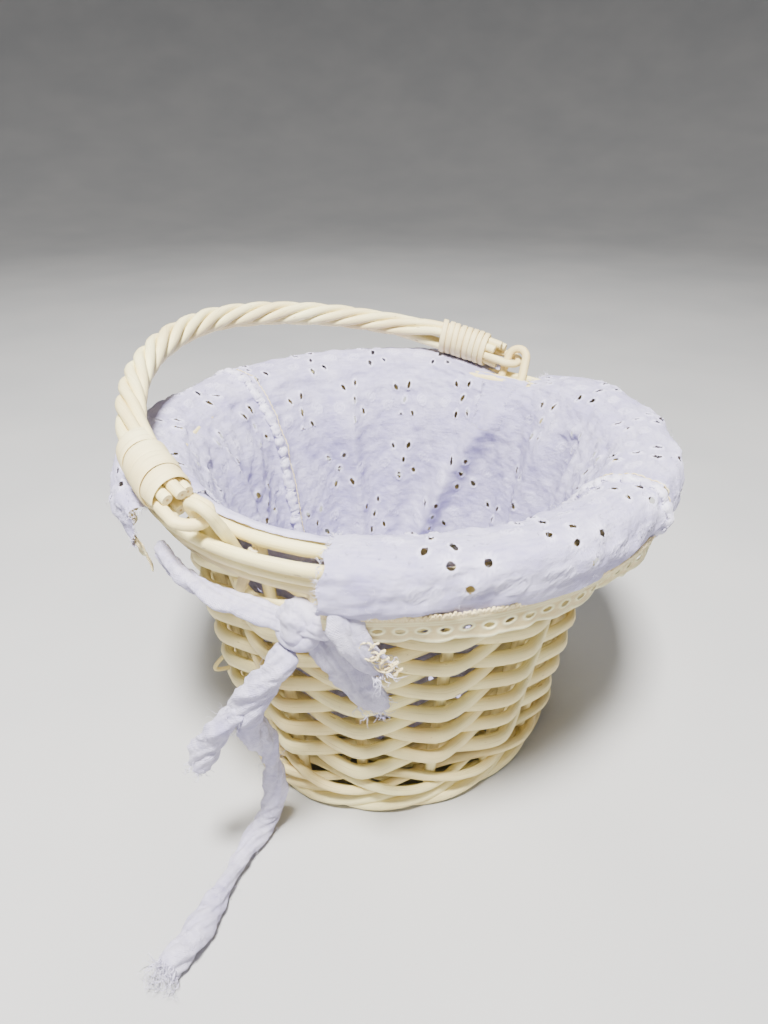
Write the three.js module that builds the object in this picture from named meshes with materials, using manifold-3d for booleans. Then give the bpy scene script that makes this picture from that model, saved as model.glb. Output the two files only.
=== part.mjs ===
// Woven flower girl basket with a swinging twisted handle, a cloth liner with a lace cuff,
// and cloth ties at both handle pivots. Millimetres, +Z up.
// +X runs from the near pivot to the far one, +Y is the side the handle lies down on.
import * as THREE from "three";
import { mergeVertices } from "three/addons/utils/BufferGeometryUtils.js";
import Module from "manifold-3d";

const wasm = await Module();
wasm.setup();

// ---------- driving sizes ----------
const clearance = 0.3; // between pieces that rest on each other
const rimHeight = 134.5; // middle of the rolled cuff
const wallFoot = 73.3; // half length of the stake ring on the floor
const wallRim = 90.95; // half length of the stake ring at rimHeight
const squeezeFoot = 0.879; // width over length of the basket on the floor
const squeezeRim = 0.958; // width over length of the basket at rimHeight

const stakeCount = 16;
const stakeRadius = 2.2;
const firstStake = rad(5.5); // angle of the first stake from +X
const footHeight = 9; // border that the basket stands on
const footWidth = 9.2;
const footChamfer = 2; // width of the slope at its four edges
const waleRadius = 1.7; // thin rods above the foot
const waleCount = 3;
const weaverRadius = 2.3; // thick rods of the wall
const rowPitch = 6.3;
const weaveStart = 26; // height of the lowest weaver's middle
const weaveBelowRim = 17.15; // from the highest weaver's middle to rimHeight
const rimRodRadius = 2.1;
const rimRodStep = 5; // height between the three outer border rods
const rimRodsOut = [13.8, 12, 10.2]; // from the stake ring to each of them, top one first
const topRodsOut = [3.9, -0.8]; // the same for the two rods on the stake ends
const baseRodRadius = 2.1;
const baseStickStep = 6; // between the middles of the crossed sticks
const baseSpiralInside = 6; // reach at which the base's spiral starts
const baseSpiralTurns = 7;

const clothThickness = 1.2;
const floorCorner = 9; // width and height of the liner's rounded bottom corner
const cuffRoll = 12.1; // radius of the cuff where it rolls over the rim
const cuffOut = 13.45; // from the stake ring to the middle of that roll
const gapBack = rad(15); // cuff-free angle from a pivot towards +Y
const gapFrontNear = rad(25); // the same towards -Y, at the near pivot
const gapFrontFar = rad(15);
const laceDrop = 11.5;
const laceFlare = 2.4;
const laceThickness = 1;

const restTilt = rad(76.4); // handle's lean from upright towards +Y
const archBehindCuff = 9.8; // from the cuff roll's middle to the resting handle's top
const archPower = 1.81; // 2 would be an ellipse
const handleRodCount = 5;
const handleRodRadius = 1.95;
const handleTwists = 3;
const twistEase = 0.12; // share of the twisted length over which the twist starts or stops
const spreadLength = 24; // the rods leave a binding's ring and close up over this length
const stubEnd = 12.5; // handle rods start this far above the pivot axis
const bindingFrom = 17.5;
const bindingTo = 42;
const bindingThickness = 1.25;
const loopRodRadius = 2;
const handleLoopRadius = 6.5;
const rimLoopRadius = 5;
const rimLoopRise = 7; // from the pivot axis to the top of the rim loop's middle line
const rimLoopLean = Math.atan(0.5); // from upright, outwards
const rimLoopOut = 8.6; // from the stake ring to its legs, beside the top outer border rod
const rimLoopFoot = 7.5; // its legs end this far below rimHeight

const tieRadius = 4.5;
const bandRadius = 3.5;

const willow = new THREE.MeshStandardMaterial({ color: 0xf2ecd6, roughness: 0.55, metalness: 0 });
const cotton = new THREE.MeshStandardMaterial({ color: 0xd9d6ea, roughness: 0.95, metalness: 0 });
const lace = new THREE.MeshStandardMaterial({ color: 0xefe6c8, roughness: 0.95, metalness: 0 });

// ---------- the basket's oval family ----------
function rad(degrees) {
  return (degrees * Math.PI) / 180;
}

// Half length of the stake ring at height z: a straight taper.
function stakeLine(z) {
  return wallFoot + ((wallRim - wallFoot) * z) / rimHeight;
}

// Half width over half length at height z.
function squeeze(z) {
  return squeezeFoot + ((squeezeRim - squeezeFoot) * z) / rimHeight;
}

// A point at an angle, a half length and a height, moved outwards by out.
function oval(angle, reach, z, out = 0) {
  const x = (reach + out) * Math.cos(angle);
  const y = (reach * squeeze(z) + out) * Math.sin(angle);
  return new THREE.Vector3(x, y, z);
}

// ---------- places worked out from the sizes ----------
// In a binding the five rods and the end loop's two legs share seven places in a ring.
const bindingPlaces = 7;
const bundleRadius = (handleRodRadius + 0.8 * clearance) / Math.sin(Math.PI / bindingPlaces);
const bindingInside = bundleRadius + handleRodRadius + clearance;
const bindingOutside = bindingInside + bindingThickness;

const stakeTop = rimHeight - clearance;
const topRodZ = stakeTop + rimRodRadius + 2 * clearance;
const topOuterRodZ = rimHeight + 1.5;
const weaverTurns = (rimHeight - weaveBelowRim - weaveStart) / (2 * rowPitch);
const baseZ = footHeight + clearance + baseRodRadius;
const floorZ = baseZ + 3 * baseRodRadius + 2 * clearance; // top of the base weave
const linerTop = rimHeight - 4;

// The folded handle's bindings lie on the cuff beside the pivots, so the cloth over the top
// border rods sets the height of the pivot axis.
const cuffMiddleY = wallRim * squeezeRim + cuffOut;
const gapEdgeY = cuffMiddleY * Math.sin(gapBack);
const pressedCloth = topRodZ + rimRodRadius + clothThickness + 2 * clearance;
const bindingDip = bindingOutside / Math.sin(restTilt) - gapEdgeY / Math.tan(restTilt);
const pivotZ = pressedCloth + clearance + bindingDip;
const crownZ = pivotZ + rimLoopRise;
const crownX = stakeLine(topOuterRodZ) + rimLoopOut + Math.tan(rimLoopLean) * (crownZ - topOuterRodZ);
const pivotX = crownX - (Math.tan(rimLoopLean) * rimLoopRise) / 2; // middle of the handle's end loops
const archSpan = pivotX + 0.75; // half width of the handle's arch
const archReach = (cuffMiddleY + archBehindCuff) / Math.sin(restTilt); // its height above the axis

// Twisted rods lie across the handle's line, which spreads them.
const closeRadius = (handleRodRadius + clearance / 2) / Math.sin(Math.PI / handleRodCount);
const twistedLength = (Math.PI * (archSpan + archReach)) / 2 - 2 * bindingTo;
const lay = Math.atan((2 * Math.PI * handleTwists * closeRadius) / ((1 - twistEase) * twistedLength));
const twistRadius = closeRadius / Math.cos(lay);

// ---------- helpers ----------
// A curve whose points come straight from a function of t, without re-spacing.
class Route extends THREE.Curve {
  constructor(pointAt) {
    super();
    this.pointAt = pointAt;
  }
  getPoint(t) {
    return this.pointAt(t);
  }
  getPointAt(t) {
    return this.pointAt(t);
  }
  getTangentAt(t) {
    return this.getTangent(t);
  }
}

// A rod along an open curve.
function rod(curve, radius, sides, steps) {
  const corners = [];
  for (let i = 0; i < sides; i++) {
    const a = (2 * Math.PI * i) / sides;
    corners.push(new THREE.Vector2(radius * Math.cos(a), radius * Math.sin(a)));
  }
  return new THREE.ExtrudeGeometry(new THREE.Shape(corners), { steps, extrudePath: curve });
}

// A rod that closes on itself at one height, moved outwards from the stakes.
function hoop(out, z, radius, sides, steps) {
  const curve = new Route((t) => oval(2 * Math.PI * t, stakeLine(z), z, out));
  return new THREE.TubeGeometry(curve, steps, radius, sides, true);
}

function throughPoints(points) {
  return new THREE.CatmullRomCurve3(points.map((p) => new THREE.Vector3(...p)));
}

// A lathe profile of [reach, z] points, squeezed from round to the basket's oval.
function ovalLathe(profile, segments) {
  const geometry = new THREE.LatheGeometry(profile.map((p) => new THREE.Vector2(...p)), segments);
  geometry.rotateX(Math.PI / 2);
  const position = geometry.attributes.position;
  for (let i = 0; i < position.count; i++) {
    position.setY(i, position.getY(i) * squeeze(position.getZ(i)));
  }
  return geometry;
}

// A thick strip: point(u, v, side) gives its outer face (side 0) and its inner face (side 1).
function strip(point, uSteps, vSteps) {
  const positions = [];
  const index = [];
  const row = vSteps + 1;
  const face = (uSteps + 1) * row;
  for (let side = 0; side < 2; side++) {
    for (let i = 0; i <= uSteps; i++) {
      for (let j = 0; j <= vSteps; j++) {
        positions.push(...point(i / uSteps, j / vSteps, side).toArray());
      }
    }
  }
  const quad = (a, b, c, d) => index.push(a, b, c, a, c, d);
  for (let i = 0; i < uSteps; i++) {
    for (let j = 0; j < vSteps; j++) {
      const a = i * row + j;
      quad(a, a + row, a + row + 1, a + 1);
      quad(face + a, face + a + 1, face + a + row + 1, face + a + row);
    }
    const low = i * row;
    const high = i * row + vSteps;
    quad(low, face + low, face + low + row, low + row);
    quad(high, high + row, face + high + row, face + high);
  }
  for (let j = 0; j < vSteps; j++) {
    const first = j;
    const last = uSteps * row + j;
    quad(first, first + 1, face + first + 1, face + first);
    quad(last, face + last, face + last + 1, last + 1);
  }
  const geometry = new THREE.BufferGeometry();
  geometry.setAttribute("position", new THREE.Float32BufferAttribute(positions, 3));
  geometry.setIndex(index);
  return geometry;
}

function toSolid(geometry) {
  const bare = geometry.clone();
  bare.deleteAttribute("normal");
  bare.deleteAttribute("uv");
  const merged = mergeVertices(bare, 1e-4);
  const mesh = new wasm.Mesh({
    numProp: 3,
    vertProperties: new Float32Array(merged.attributes.position.array),
    triVerts: new Uint32Array(merged.index.array),
  });
  return new wasm.Manifold(mesh);
}

function fromSolid(solid) {
  const mesh = solid.getMesh();
  const geometry = new THREE.BufferGeometry();
  geometry.setAttribute("position", new THREE.BufferAttribute(mesh.vertProperties, 3));
  geometry.setIndex(new THREE.BufferAttribute(mesh.triVerts, 1));
  return geometry;
}

function add(group, name, geometry, material) {
  const mesh = new THREE.Mesh(geometry, material);
  mesh.name = name;
  group.add(mesh);
  return mesh;
}

// ---------- basket frame ----------
function addFoot(group) {
  const half = footWidth / 2;
  const middle = stakeLine(0) + stakeRadius + weaverRadius - half / 3;
  const low = half - footChamfer;
  const profile = [
    [middle - low, 0],
    [middle + low, 0],
    [middle + half, footHeight / 2],
    [middle + low, footHeight],
    [middle - low, footHeight],
    [middle - half, footHeight / 2],
    [middle - low, 0],
  ];
  add(group, "foot_border", ovalLathe(profile, 48), willow);
}

function addBase(group) {
  const reach = stakeLine(baseZ) - stakeRadius - 2 * clearance;
  let cross = null;
  for (const side of [-1, 0, 1]) {
    const across = side * baseStickStep;
    const inX = reach * Math.sqrt(1 - (across / reach) ** 2) - clearance;
    const halfY = reach * squeeze(baseZ);
    const inY = halfY * Math.sqrt(1 - (across / halfY) ** 2) - clearance;
    const alongX = new THREE.LineCurve3(
      new THREE.Vector3(-inX, across, baseZ),
      new THREE.Vector3(inX, across, baseZ)
    );
    const alongY = new THREE.LineCurve3(
      new THREE.Vector3(across, -inY, baseZ),
      new THREE.Vector3(across, inY, baseZ)
    );
    for (const line of [alongX, alongY]) {
      const stick = toSolid(rod(line, baseRodRadius, 8, 1));
      cross = cross ? cross.add(stick) : stick;
    }
  }
  add(group, "base_sticks", fromSolid(cross), willow);

  const spiralZ = baseZ + 2 * baseRodRadius + clearance;
  const inner = baseSpiralInside;
  const outer = stakeLine(spiralZ) - 2 * (stakeRadius + baseRodRadius);
  const spiral = new Route((t) =>
    oval(2 * Math.PI * baseSpiralTurns * t, inner + (outer - inner) * t, spiralZ)
  );
  add(group, "base_weave", rod(spiral, baseRodRadius - clearance, 5, baseSpiralTurns * 20), willow);
}

function addStakes(group) {
  for (let i = 0; i < stakeCount; i++) {
    const angle = firstStake + (2 * Math.PI * i) / stakeCount;
    const low = footHeight + 2 * clearance;
    const line = new THREE.LineCurve3(
      oval(angle, stakeLine(low), low),
      oval(angle, stakeLine(stakeTop), stakeTop)
    );
    add(group, `stake_${String(i + 1).padStart(2, "0")}`, rod(line, stakeRadius, 6, 1), willow);
  }
}

function addWale(group) {
  const step = 2 * waleRadius + clearance;
  const start = footHeight + waleRadius + 2 * clearance;
  for (let i = 0; i < waleCount; i++) {
    const z = start + step * i;
    const out = stakeRadius + waleRadius + 2 * clearance;
    add(group, `wale_rod_${i + 1}`, hoop(out, z, waleRadius, 5, 40), willow);
  }
}

// Two weavers chase each other round the stakes, each in front of every other stake.
function addWeave(group) {
  const sway = weaverRadius + stakeRadius + 3 * clearance;
  const perTurn = 2 * stakeCount; // a bend at each stake and one between
  const joint = 0.15; // share of a bend left open between two rods
  const names = ["lower", "middle", "upper"];
  for (const [k, weaver] of ["a", "b"].entries()) {
    names.forEach((name, part) => {
      const from = 2 * Math.round((weaverTurns * stakeCount * part) / names.length);
      const to = 2 * Math.round((weaverTurns * stakeCount * (part + 1)) / names.length);
      const curve = new Route((t) => {
        const turn = Math.min(from + (to - from) * t, to - joint) / perTurn;
        const angle = firstStake + 2 * Math.PI * turn + Math.PI * k;
        const wave = Math.cos(stakeCount * Math.PI * turn) * (k ? -1 : 1);
        const z = weaveStart + 2 * rowPitch * turn;
        return oval(angle, stakeLine(z), z, sway * wave);
      });
      add(group, `weaver_${weaver}_${name}`, rod(curve, weaverRadius, 5, to - from), willow);
    });
  }
}

// Border rods: three step down and inwards, and two lie on the stake ends.
function addRim(group) {
  const places = [
    ...rimRodsOut.map((out, i) => [out, topOuterRodZ - rimRodStep * i]),
    ...topRodsOut.map((out) => [out, topRodZ]),
  ];
  places.forEach(([out, z], i) => {
    add(group, `rim_rod_${i + 1}`, hoop(out, z, rimRodRadius, 5, 40), willow);
  });
}

// An upside-down U that leans outwards, its legs pushed down behind the outer border rods.
function addRimLoops(group) {
  const lean = new THREE.Vector3(Math.sin(rimLoopLean), 0, Math.cos(rimLoopLean));
  const crown = new THREE.Vector3(crownX, 0, crownZ);
  const middle = crown.clone().addScaledVector(lean, -rimLoopRadius);
  const legLength = (middle.z - rimHeight + rimLoopFoot) / lean.z;
  for (const [name, side] of [["rim_loop_near", -1], ["rim_loop_far", 1]]) {
    const points = [];
    const put = (y, along) => {
      const p = middle.clone().addScaledVector(lean, along);
      points.push([side * p.x, y, p.z]);
    };
    for (const share of [1, 0.7, 0.35]) put(rimLoopRadius, -legLength * share);
    for (let i = 0; i <= 6; i++) {
      const a = (Math.PI * i) / 6;
      put(rimLoopRadius * Math.cos(a), rimLoopRadius * Math.sin(a));
    }
    for (const share of [0.35, 0.7, 1]) put(-rimLoopRadius, -legLength * share);
    add(group, name, rod(throughPoints(points), loopRodRadius, 7, 26), willow);
  }
}

// ---------- cloth ----------
function addLiner(group) {
  const inward = stakeRadius + 2 * weaverRadius + 6 * clearance;
  const bottom = floorZ + clearance;
  const weaveTop = weaveStart + 2 * rowPitch * weaverTurns + weaverRadius;
  const skin = (z, extra = 0) => stakeLine(z) - inward + extra;
  const outer = [
    [0, bottom],
    [skin(bottom) - floorCorner, bottom],
    [skin(bottom) - 0.34 * floorCorner, bottom + 0.27 * floorCorner],
    [skin(bottom + floorCorner), bottom + 0.96 * floorCorner],
    [skin(70), 70],
    [skin(weaveTop), weaveTop],
    [skin(linerTop, 3.9), linerTop],
  ];
  const inner = outer.map(([reach, z], i) => [
    Math.max(0, reach - (i < 2 ? 0.5 : clothThickness)),
    Math.min(linerTop, i < 4 ? z + clothThickness * (1 - i / 4) : z),
  ]);
  inner[0][0] = 0;
  add(group, "liner_bag", ovalLathe([...outer, ...inner.reverse()], 44), cotton);
}

// The cuff's section from its outer hem, up over the roll and down inside the rim.
function cuffSection() {
  const middle = stakeLine(rimHeight) + cuffOut;
  const points = [[middle + cuffRoll, rimHeight - 5]];
  for (let i = 0; i <= 6; i++) {
    const a = (rad(135) * i) / 6;
    points.push([middle + cuffRoll * Math.cos(a), rimHeight + cuffRoll * Math.sin(a)]);
  }
  points.push([middle - 13.4, rimHeight + 7.8], [middle - 18, rimHeight + 4.5]);
  points.push([middle - 18.8, rimHeight], [middle - 18.9, linerTop + 0.5]);
  return points.map((p) => new THREE.Vector2(...p));
}

// The same section, one cloth thickness in from the outside.
function offsetSection(section, distance) {
  return section.map((p, i) => {
    const before = section[Math.max(0, i - 1)];
    const after = section[Math.min(section.length - 1, i + 1)];
    const along = after.clone().sub(before).normalize();
    return new THREE.Vector2(p.x - along.y * distance, p.y + along.x * distance);
  });
}

// Height of the cuff's top at an angle: the roll's own top, or pressed down under the handle.
function crest(angle) {
  const y = Math.abs(cuffMiddleY * Math.sin(angle));
  const pressed = pressedCloth + (y - gapEdgeY) / Math.tan(restTilt);
  return Math.min(rimHeight + cuffRoll, pressed);
}

function addCuffs(group) {
  const outer = cuffSection();
  const inner = offsetSection(outer, clothThickness);
  const hemZ = outer[0].y;
  const hemReach = outer[0].x;
  const spans = [
    ["back", gapBack, Math.PI - gapBack],
    ["front", Math.PI + gapFrontNear, 2 * Math.PI - gapFrontFar],
  ];
  for (const [name, from, to] of spans) {
    const cuffPoint = (u, v, side) => {
      const angle = from + (to - from) * u;
      const p = (side ? inner : outer)[Math.round(v * (outer.length - 1))];
      const top = crest(angle) - side * clothThickness;
      return oval(angle, p.x, Math.min(p.y, top));
    };
    add(group, `cuff_${name}`, strip(cuffPoint, 24, outer.length - 1), cotton);
    const lacePoint = (u, v, side) => {
      const angle = from + (to - from) * u;
      const reach = hemReach + laceFlare * (1 - v) - side * laceThickness;
      return oval(angle, reach, hemZ - clearance - laceDrop * (1 - v));
    };
    add(group, `lace_${name}`, strip(lacePoint, 24, 2), lace);
  }
}

// ---------- handle, built upright and leaned back by its group ----------
// A point of the arch's middle line; phi runs from 0 at the near foot to pi at the far one.
function archPoint(phi) {
  const shape = (value) => Math.sign(value) * Math.abs(value) ** (2 / archPower);
  return new THREE.Vector3(-archSpan * shape(Math.cos(phi)), 0, archReach * shape(Math.sin(phi)));
}

// Phi on the near side, at a height above the pivot axis.
function phiAtHeight(z) {
  return Math.asin((z / archReach) ** (archPower / 2));
}

// A point beside the arch: turned by angle from outwards towards the arch's own normal.
function besideArch(phi, radius, angle) {
  const step = 1e-4;
  const along = archPoint(phi + step).sub(archPoint(phi - step)).normalize();
  const outwards = new THREE.Vector3(-along.z, 0, along.x);
  const point = archPoint(phi).addScaledVector(outwards, radius * Math.cos(angle));
  point.y += radius * Math.sin(angle);
  return point;
}

// Places of the loop's legs and of the rods in a binding's ring.
const legPlaces = [0, 3];
const rodPlaces = [1, 2, 4, 5, 6];
function placeAngle(place) {
  const quarterOff = Math.PI / bindingPlaces / 2;
  return quarterOff + (2 * Math.PI * place) / bindingPlaces;
}

// Share of the twist made at share t of the way, its rate rising and falling at the ends.
function easedShare(t) {
  const end = Math.min(t, 1 - t);
  if (end >= twistEase) return (t - twistEase / 2) / (1 - twistEase);
  const part = end ** 2 / (2 * twistEase * (1 - twistEase));
  return t < 0.5 ? part : 1 - part;
}

// The arch from stub end to stub end, so that places on it can be told by length.
const stubPhi = phiAtHeight(stubEnd);
const stubToStub = Math.PI - 2 * stubPhi;
const archLine = new THREE.Curve();
archLine.getPoint = (t) => archPoint(stubPhi + stubToStub * t);

// Share of the arch's length that lies below a height, on one side.
function shareAtHeight(z) {
  const lengths = archLine.getLengths();
  const steps = lengths.length - 1;
  const at = (steps * (phiAtHeight(z) - stubPhi)) / stubToStub;
  const low = Math.floor(at);
  return THREE.MathUtils.lerp(lengths[low], lengths[low + 1], at - low) / lengths[steps];
}

function addHandleRods(group) {
  const bound = shareAtHeight(bindingTo);
  const loosened = bound + spreadLength / archLine.getLength();
  rodPlaces.forEach((place, i) => {
    const evenAngle = rad(270) + ((i - 3) * 2 * Math.PI) / handleRodCount;
    const curve = new Route((share) => {
      const phi = stubPhi + stubToStub * archLine.getUtoTmapping(share);
      const loose = THREE.MathUtils.smoothstep(Math.min(share, 1 - share), bound, loosened);
      const turned = THREE.MathUtils.clamp((share - bound) / (1 - 2 * bound), 0, 1);
      const radius = THREE.MathUtils.lerp(bundleRadius, twistRadius, loose);
      const angle = THREE.MathUtils.lerp(placeAngle(place), evenAngle, loose);
      return besideArch(phi, radius, angle + 2 * Math.PI * handleTwists * easedShare(turned));
    });
    add(group, `handle_rod_${i + 1}`, rod(curve, handleRodRadius, 5, 62), willow);
  });
}

function addBindings(group) {
  for (const [name, mirror] of [["binding_near", false], ["binding_far", true]]) {
    const along = (low, high) =>
      new Route((t) => {
        const phi = phiAtHeight(low + (high - low) * t);
        return archPoint(mirror ? Math.PI - phi : phi);
      });
    const outer = toSolid(rod(along(bindingFrom, bindingTo), bindingOutside, 16, 4));
    const bore = toSolid(rod(along(bindingFrom - 1, bindingTo + 1), bindingInside, 16, 4));
    add(group, name, fromSolid(outer.subtract(bore)), willow);
  }
}

// The handle's end loop: a U whose bottom hangs in the rim loop, on the hinge axis.
function addHandleLoops(group) {
  for (const [name, side] of [["handle_loop_near", -1], ["handle_loop_far", 1]]) {
    const leg = (place, z) => {
      const phi = phiAtHeight(z);
      return besideArch(phi, bundleRadius, placeAngle(place)).toArray();
    };
    const outerLeg = [32, 25, 18].map((z) => leg(legPlaces[0], z));
    const innerLeg = [18, 25, 32].map((z) => leg(legPlaces[1], z));
    const bend = [];
    for (let i = 0; i <= 6; i++) {
      const a = Math.PI + (Math.PI * i) / 6;
      const x = -pivotX + handleLoopRadius * Math.cos(a);
      bend.push([x, 0, handleLoopRadius + handleLoopRadius * Math.sin(a)]);
    }
    const points = [...outerLeg, ...bend, ...innerLeg].map(([x, y, z]) => [-side * x, y, z]);
    add(group, name, rod(throughPoints(points), loopRodRadius, 6, 36), willow);
  }
}

// ---------- ties ----------
const knotRadius = 8;
const ties = {
  near: {
    knot: [-99, -33, 115],
    bands: {
      back: [[-104, 27, 123], [-108, 12, 121.5], [-108.5, -3, 120], [-105.5, -16, 118], [-102.4, -24.6, 116.4]],
      front: [[-97.5, -48.5, 121], [-98.4, -45.5, 119.8], [-99, -41.9, 117.9]],
    },
    tails: {
      long: [
        [-103, -31.5, 107.3], [-107.5, -28.5, 99.5], [-111.5, -24.5, 92.5], [-113.8, -21, 85.5],
        [-112.6, -19, 77], [-109, -17.8, 68], [-104.5, -17, 58], [-100.5, -15, 46], [-97.5, -12.5, 33],
        [-96.5, -10.3, 20], [-98.5, -8.6, 10], [-105, -8.5, 5.3], [-114, -10.3, 4.8], [-124, -13.2, 4.8],
        [-134, -16.4, 4.8], [-144, -19.4, 4.8], [-153, -21.3, 4.8], [-162, -22, 4.8],
      ],
      short: [[-119.8, -15.2, 78.5], [-121.5, -12, 73], [-123, -9, 67.5], [-124.3, -6.6, 62], [-125, -5, 57]],
      wide: [[-96.2, -40.6, 109.8], [-94, -43.4, 104], [-91, -46.6, 97], [-88, -49.6, 89], [-85.5, -52, 81]],
    },
  },
  far: {
    knot: [108, 4, 113],
    bands: {
      back: [[104, 27, 123], [107, 19, 120.5], [108.6, 12, 117.2]],
    },
    tails: {
      long: [
        [109, 1, 104.5], [109.5, -2, 95], [108.5, -5, 84], [106.5, -7, 72], [104, -8, 60], [101.5, -8, 48],
        [99.5, -7, 36], [98.5, -5, 24], [99.5, -2.5, 13], [104.5, 0.5, 6.5], [112, 4, 4.9], [121, 7.5, 4.8],
        [130, 10, 4.8], [139, 11.5, 4.8], [148, 11.5, 4.8],
      ],
      short: [[108.6, 10.5, 107], [109.5, 14.5, 100], [109.2, 17.5, 91], [107.5, 19.5, 82], [105.5, 21, 73]],
    },
  },
};
const tailRadius = { long: tieRadius, short: tieRadius, wide: 6 };

function addTies(group) {
  for (const [side, tie] of Object.entries(ties)) {
    const knot = new THREE.SphereGeometry(knotRadius, 12, 8);
    knot.translate(...tie.knot);
    add(group, `tie_${side}_knot`, knot, cotton);
    for (const [name, points] of Object.entries(tie.bands)) {
      const steps = 2 * points.length;
      add(group, `tie_${side}_band_${name}`, rod(throughPoints(points), bandRadius, 8, steps), cotton);
    }
    for (const [name, points] of Object.entries(tie.tails)) {
      const curve = throughPoints(points);
      add(group, `tie_${side}_tail_${name}`, rod(curve, tailRadius[name], 8, points.length + 4), cotton);
    }
  }
}

// ---------- assembly ----------
const basket = new THREE.Group();
addFoot(basket);
addBase(basket);
addStakes(basket);
addWale(basket);
addWeave(basket);
addRim(basket);
addRimLoops(basket);
addLiner(basket);
addCuffs(basket);
addTies(basket);

const handle = new THREE.Group();
handle.position.set(0, 0, pivotZ);
handle.rotation.x = -restTilt;
addHandleRods(handle);
addBindings(handle);
addHandleLoops(handle);
basket.add(handle);

export default basket;
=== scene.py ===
import math

import bpy
import numpy as np
from mathutils import Matrix, Vector


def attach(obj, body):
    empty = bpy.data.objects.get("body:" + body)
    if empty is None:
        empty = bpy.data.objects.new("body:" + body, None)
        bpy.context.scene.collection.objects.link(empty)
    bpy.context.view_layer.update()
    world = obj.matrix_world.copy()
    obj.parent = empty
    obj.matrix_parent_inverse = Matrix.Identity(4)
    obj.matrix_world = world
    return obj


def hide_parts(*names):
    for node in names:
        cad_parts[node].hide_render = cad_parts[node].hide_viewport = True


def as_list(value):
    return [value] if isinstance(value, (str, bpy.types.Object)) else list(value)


bl_info = {
    "name": "Lined willow flower basket",
    "version": (1, 0, 0),
    "blender": (4, 5, 0),
    "location": "3D View > Sidebar > Basket",
    "description": "Makes a woven willow basket with a cloth liner, lace cuffs and a twisted swing handle",
    "category": "Add Mesh",
}

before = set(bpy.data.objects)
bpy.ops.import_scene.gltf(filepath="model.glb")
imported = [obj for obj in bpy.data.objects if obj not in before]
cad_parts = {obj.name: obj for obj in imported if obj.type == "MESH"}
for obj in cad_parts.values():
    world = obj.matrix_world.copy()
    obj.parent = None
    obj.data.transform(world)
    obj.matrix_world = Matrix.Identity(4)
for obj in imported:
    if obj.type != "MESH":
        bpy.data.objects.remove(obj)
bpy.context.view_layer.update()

# All lengths below are millimetres until make_piece() turns them into metres, but for the
# stage's, which are metres throughout.
MM = 0.001
TURN = 2 * math.pi

# The basket's oval family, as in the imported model.
RIM_HEIGHT = 134.5
WALL_FOOT, WALL_RIM = 73.3, 90.95
SQUEEZE_FOOT, SQUEEZE_RIM = 0.879, 0.958
STAKES = 16
FIRST_STAKE = math.radians(5.5)
WEAVE_START = 26.0
ROW_PITCH = 6.3
WEAVE_TURNS = 7.25
WEAVE_SWAY = 5.25  # how far a weaver swings out and in past the stakes
BASE_LEVEL = 12.9
BASE_TURN = math.radians(3)
BASE_WEAVE_TURNS = 6.6
CUFF_MIDDLE = WALL_RIM + 13.45
CUFF_ROLL = 12.1
CUFF_BACK = (math.radians(6), math.radians(165))
CUFF_FRONT = (math.radians(205), math.radians(353))
BAG_TOP = 118.0
CUFF_HEM, HEM_Z = 9.9, 127.2  # the hem, out from the roll's middle and its height

# The handle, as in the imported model: its own arch, leaned back about the pivot axis.
PIVOT_Z = 143.596
PIVOT_X = 105.295
REST_TILT = math.radians(76.4)
ARCH_SPAN, ARCH_REACH, ARCH_POWER = 106.045, 113.564, 1.81
BUNDLE_RADIUS, TWIST_RADIUS = 5.05, 3.74
TWIST_EASE = 0.12
BINDING_FROM, BINDING_TO = 17.5, 42.0
BINDING_RADIUS, CORE_RADIUS = 7.75, 7.3
BINDING_PLACES = 7
ROD_PLACES = (1, 2, 4, 5, 6)

# Half depth and half height of the willow rods, and radii of the threads.
RODS = {"stake": (2.2, 2.2), "base stick": (1.9, 2.2), "base weaver": (2.0, 1.75),
        "border": (2.05, 2.2), "loop": (1.95, 2.05), "handle": (2.0, 2.2), "stub": (1.5, 2.0),
        "twig": (0.95, 0.95)}
FOOT_ROD, WALE_ROD = 2.35, 1.85
SERGING_THREAD, SEWING_THREAD = 0.34, 0.26
RAVELLED_THREAD, TORN_THREAD, LINT, NAP = 0.13, 0.2, 0.1, 0.08

# The routes of the cloth ties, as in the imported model.
NEAR_KNOT, FAR_KNOT = (-99, -33, 115), (108, 4, 113)
NEAR_BAND_BACK = [(-104, 27, 123), (-108, 12, 121.5), (-108.5, -3, 120), (-105.5, -16, 118),
                  (-102.4, -24.6, 116.4)]
NEAR_BAND_FRONT = [(-97.5, -48.5, 121), (-98.4, -45.5, 119.8), (-99, -41.9, 117.9)]
NEAR_LONG = [(-103, -31.5, 107.3), (-107.5, -28.5, 99.5), (-111.5, -24.5, 92.5),
             (-113.8, -21, 85.5), (-112.6, -19, 77), (-109, -17.8, 68), (-104.5, -17, 58),
             (-100.5, -15, 46), (-97.5, -12.5, 33), (-96.5, -10.3, 20), (-98.5, -8.6, 10),
             (-105, -8.5, 5.3), (-114, -10.3, 4.8), (-124, -13.2, 4.8), (-134, -16.4, 4.8),
             (-144, -19.4, 4.8), (-153, -21.3, 4.8), (-162, -22, 4.8)]
NEAR_SHORT = [(-119.8, -15.2, 78.5), (-121.5, -12, 73), (-123, -9, 67.5), (-124.3, -6.6, 62),
              (-125, -5, 57)]
NEAR_WIDE = [(-96.2, -40.6, 109.8), (-94, -43.4, 104), (-91, -46.6, 97), (-88, -49.6, 89),
             (-85.5, -52, 81)]
FAR_BAND = [(104, 27, 123), (107, 19, 120.5), (108.6, 12, 117.2)]
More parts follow.
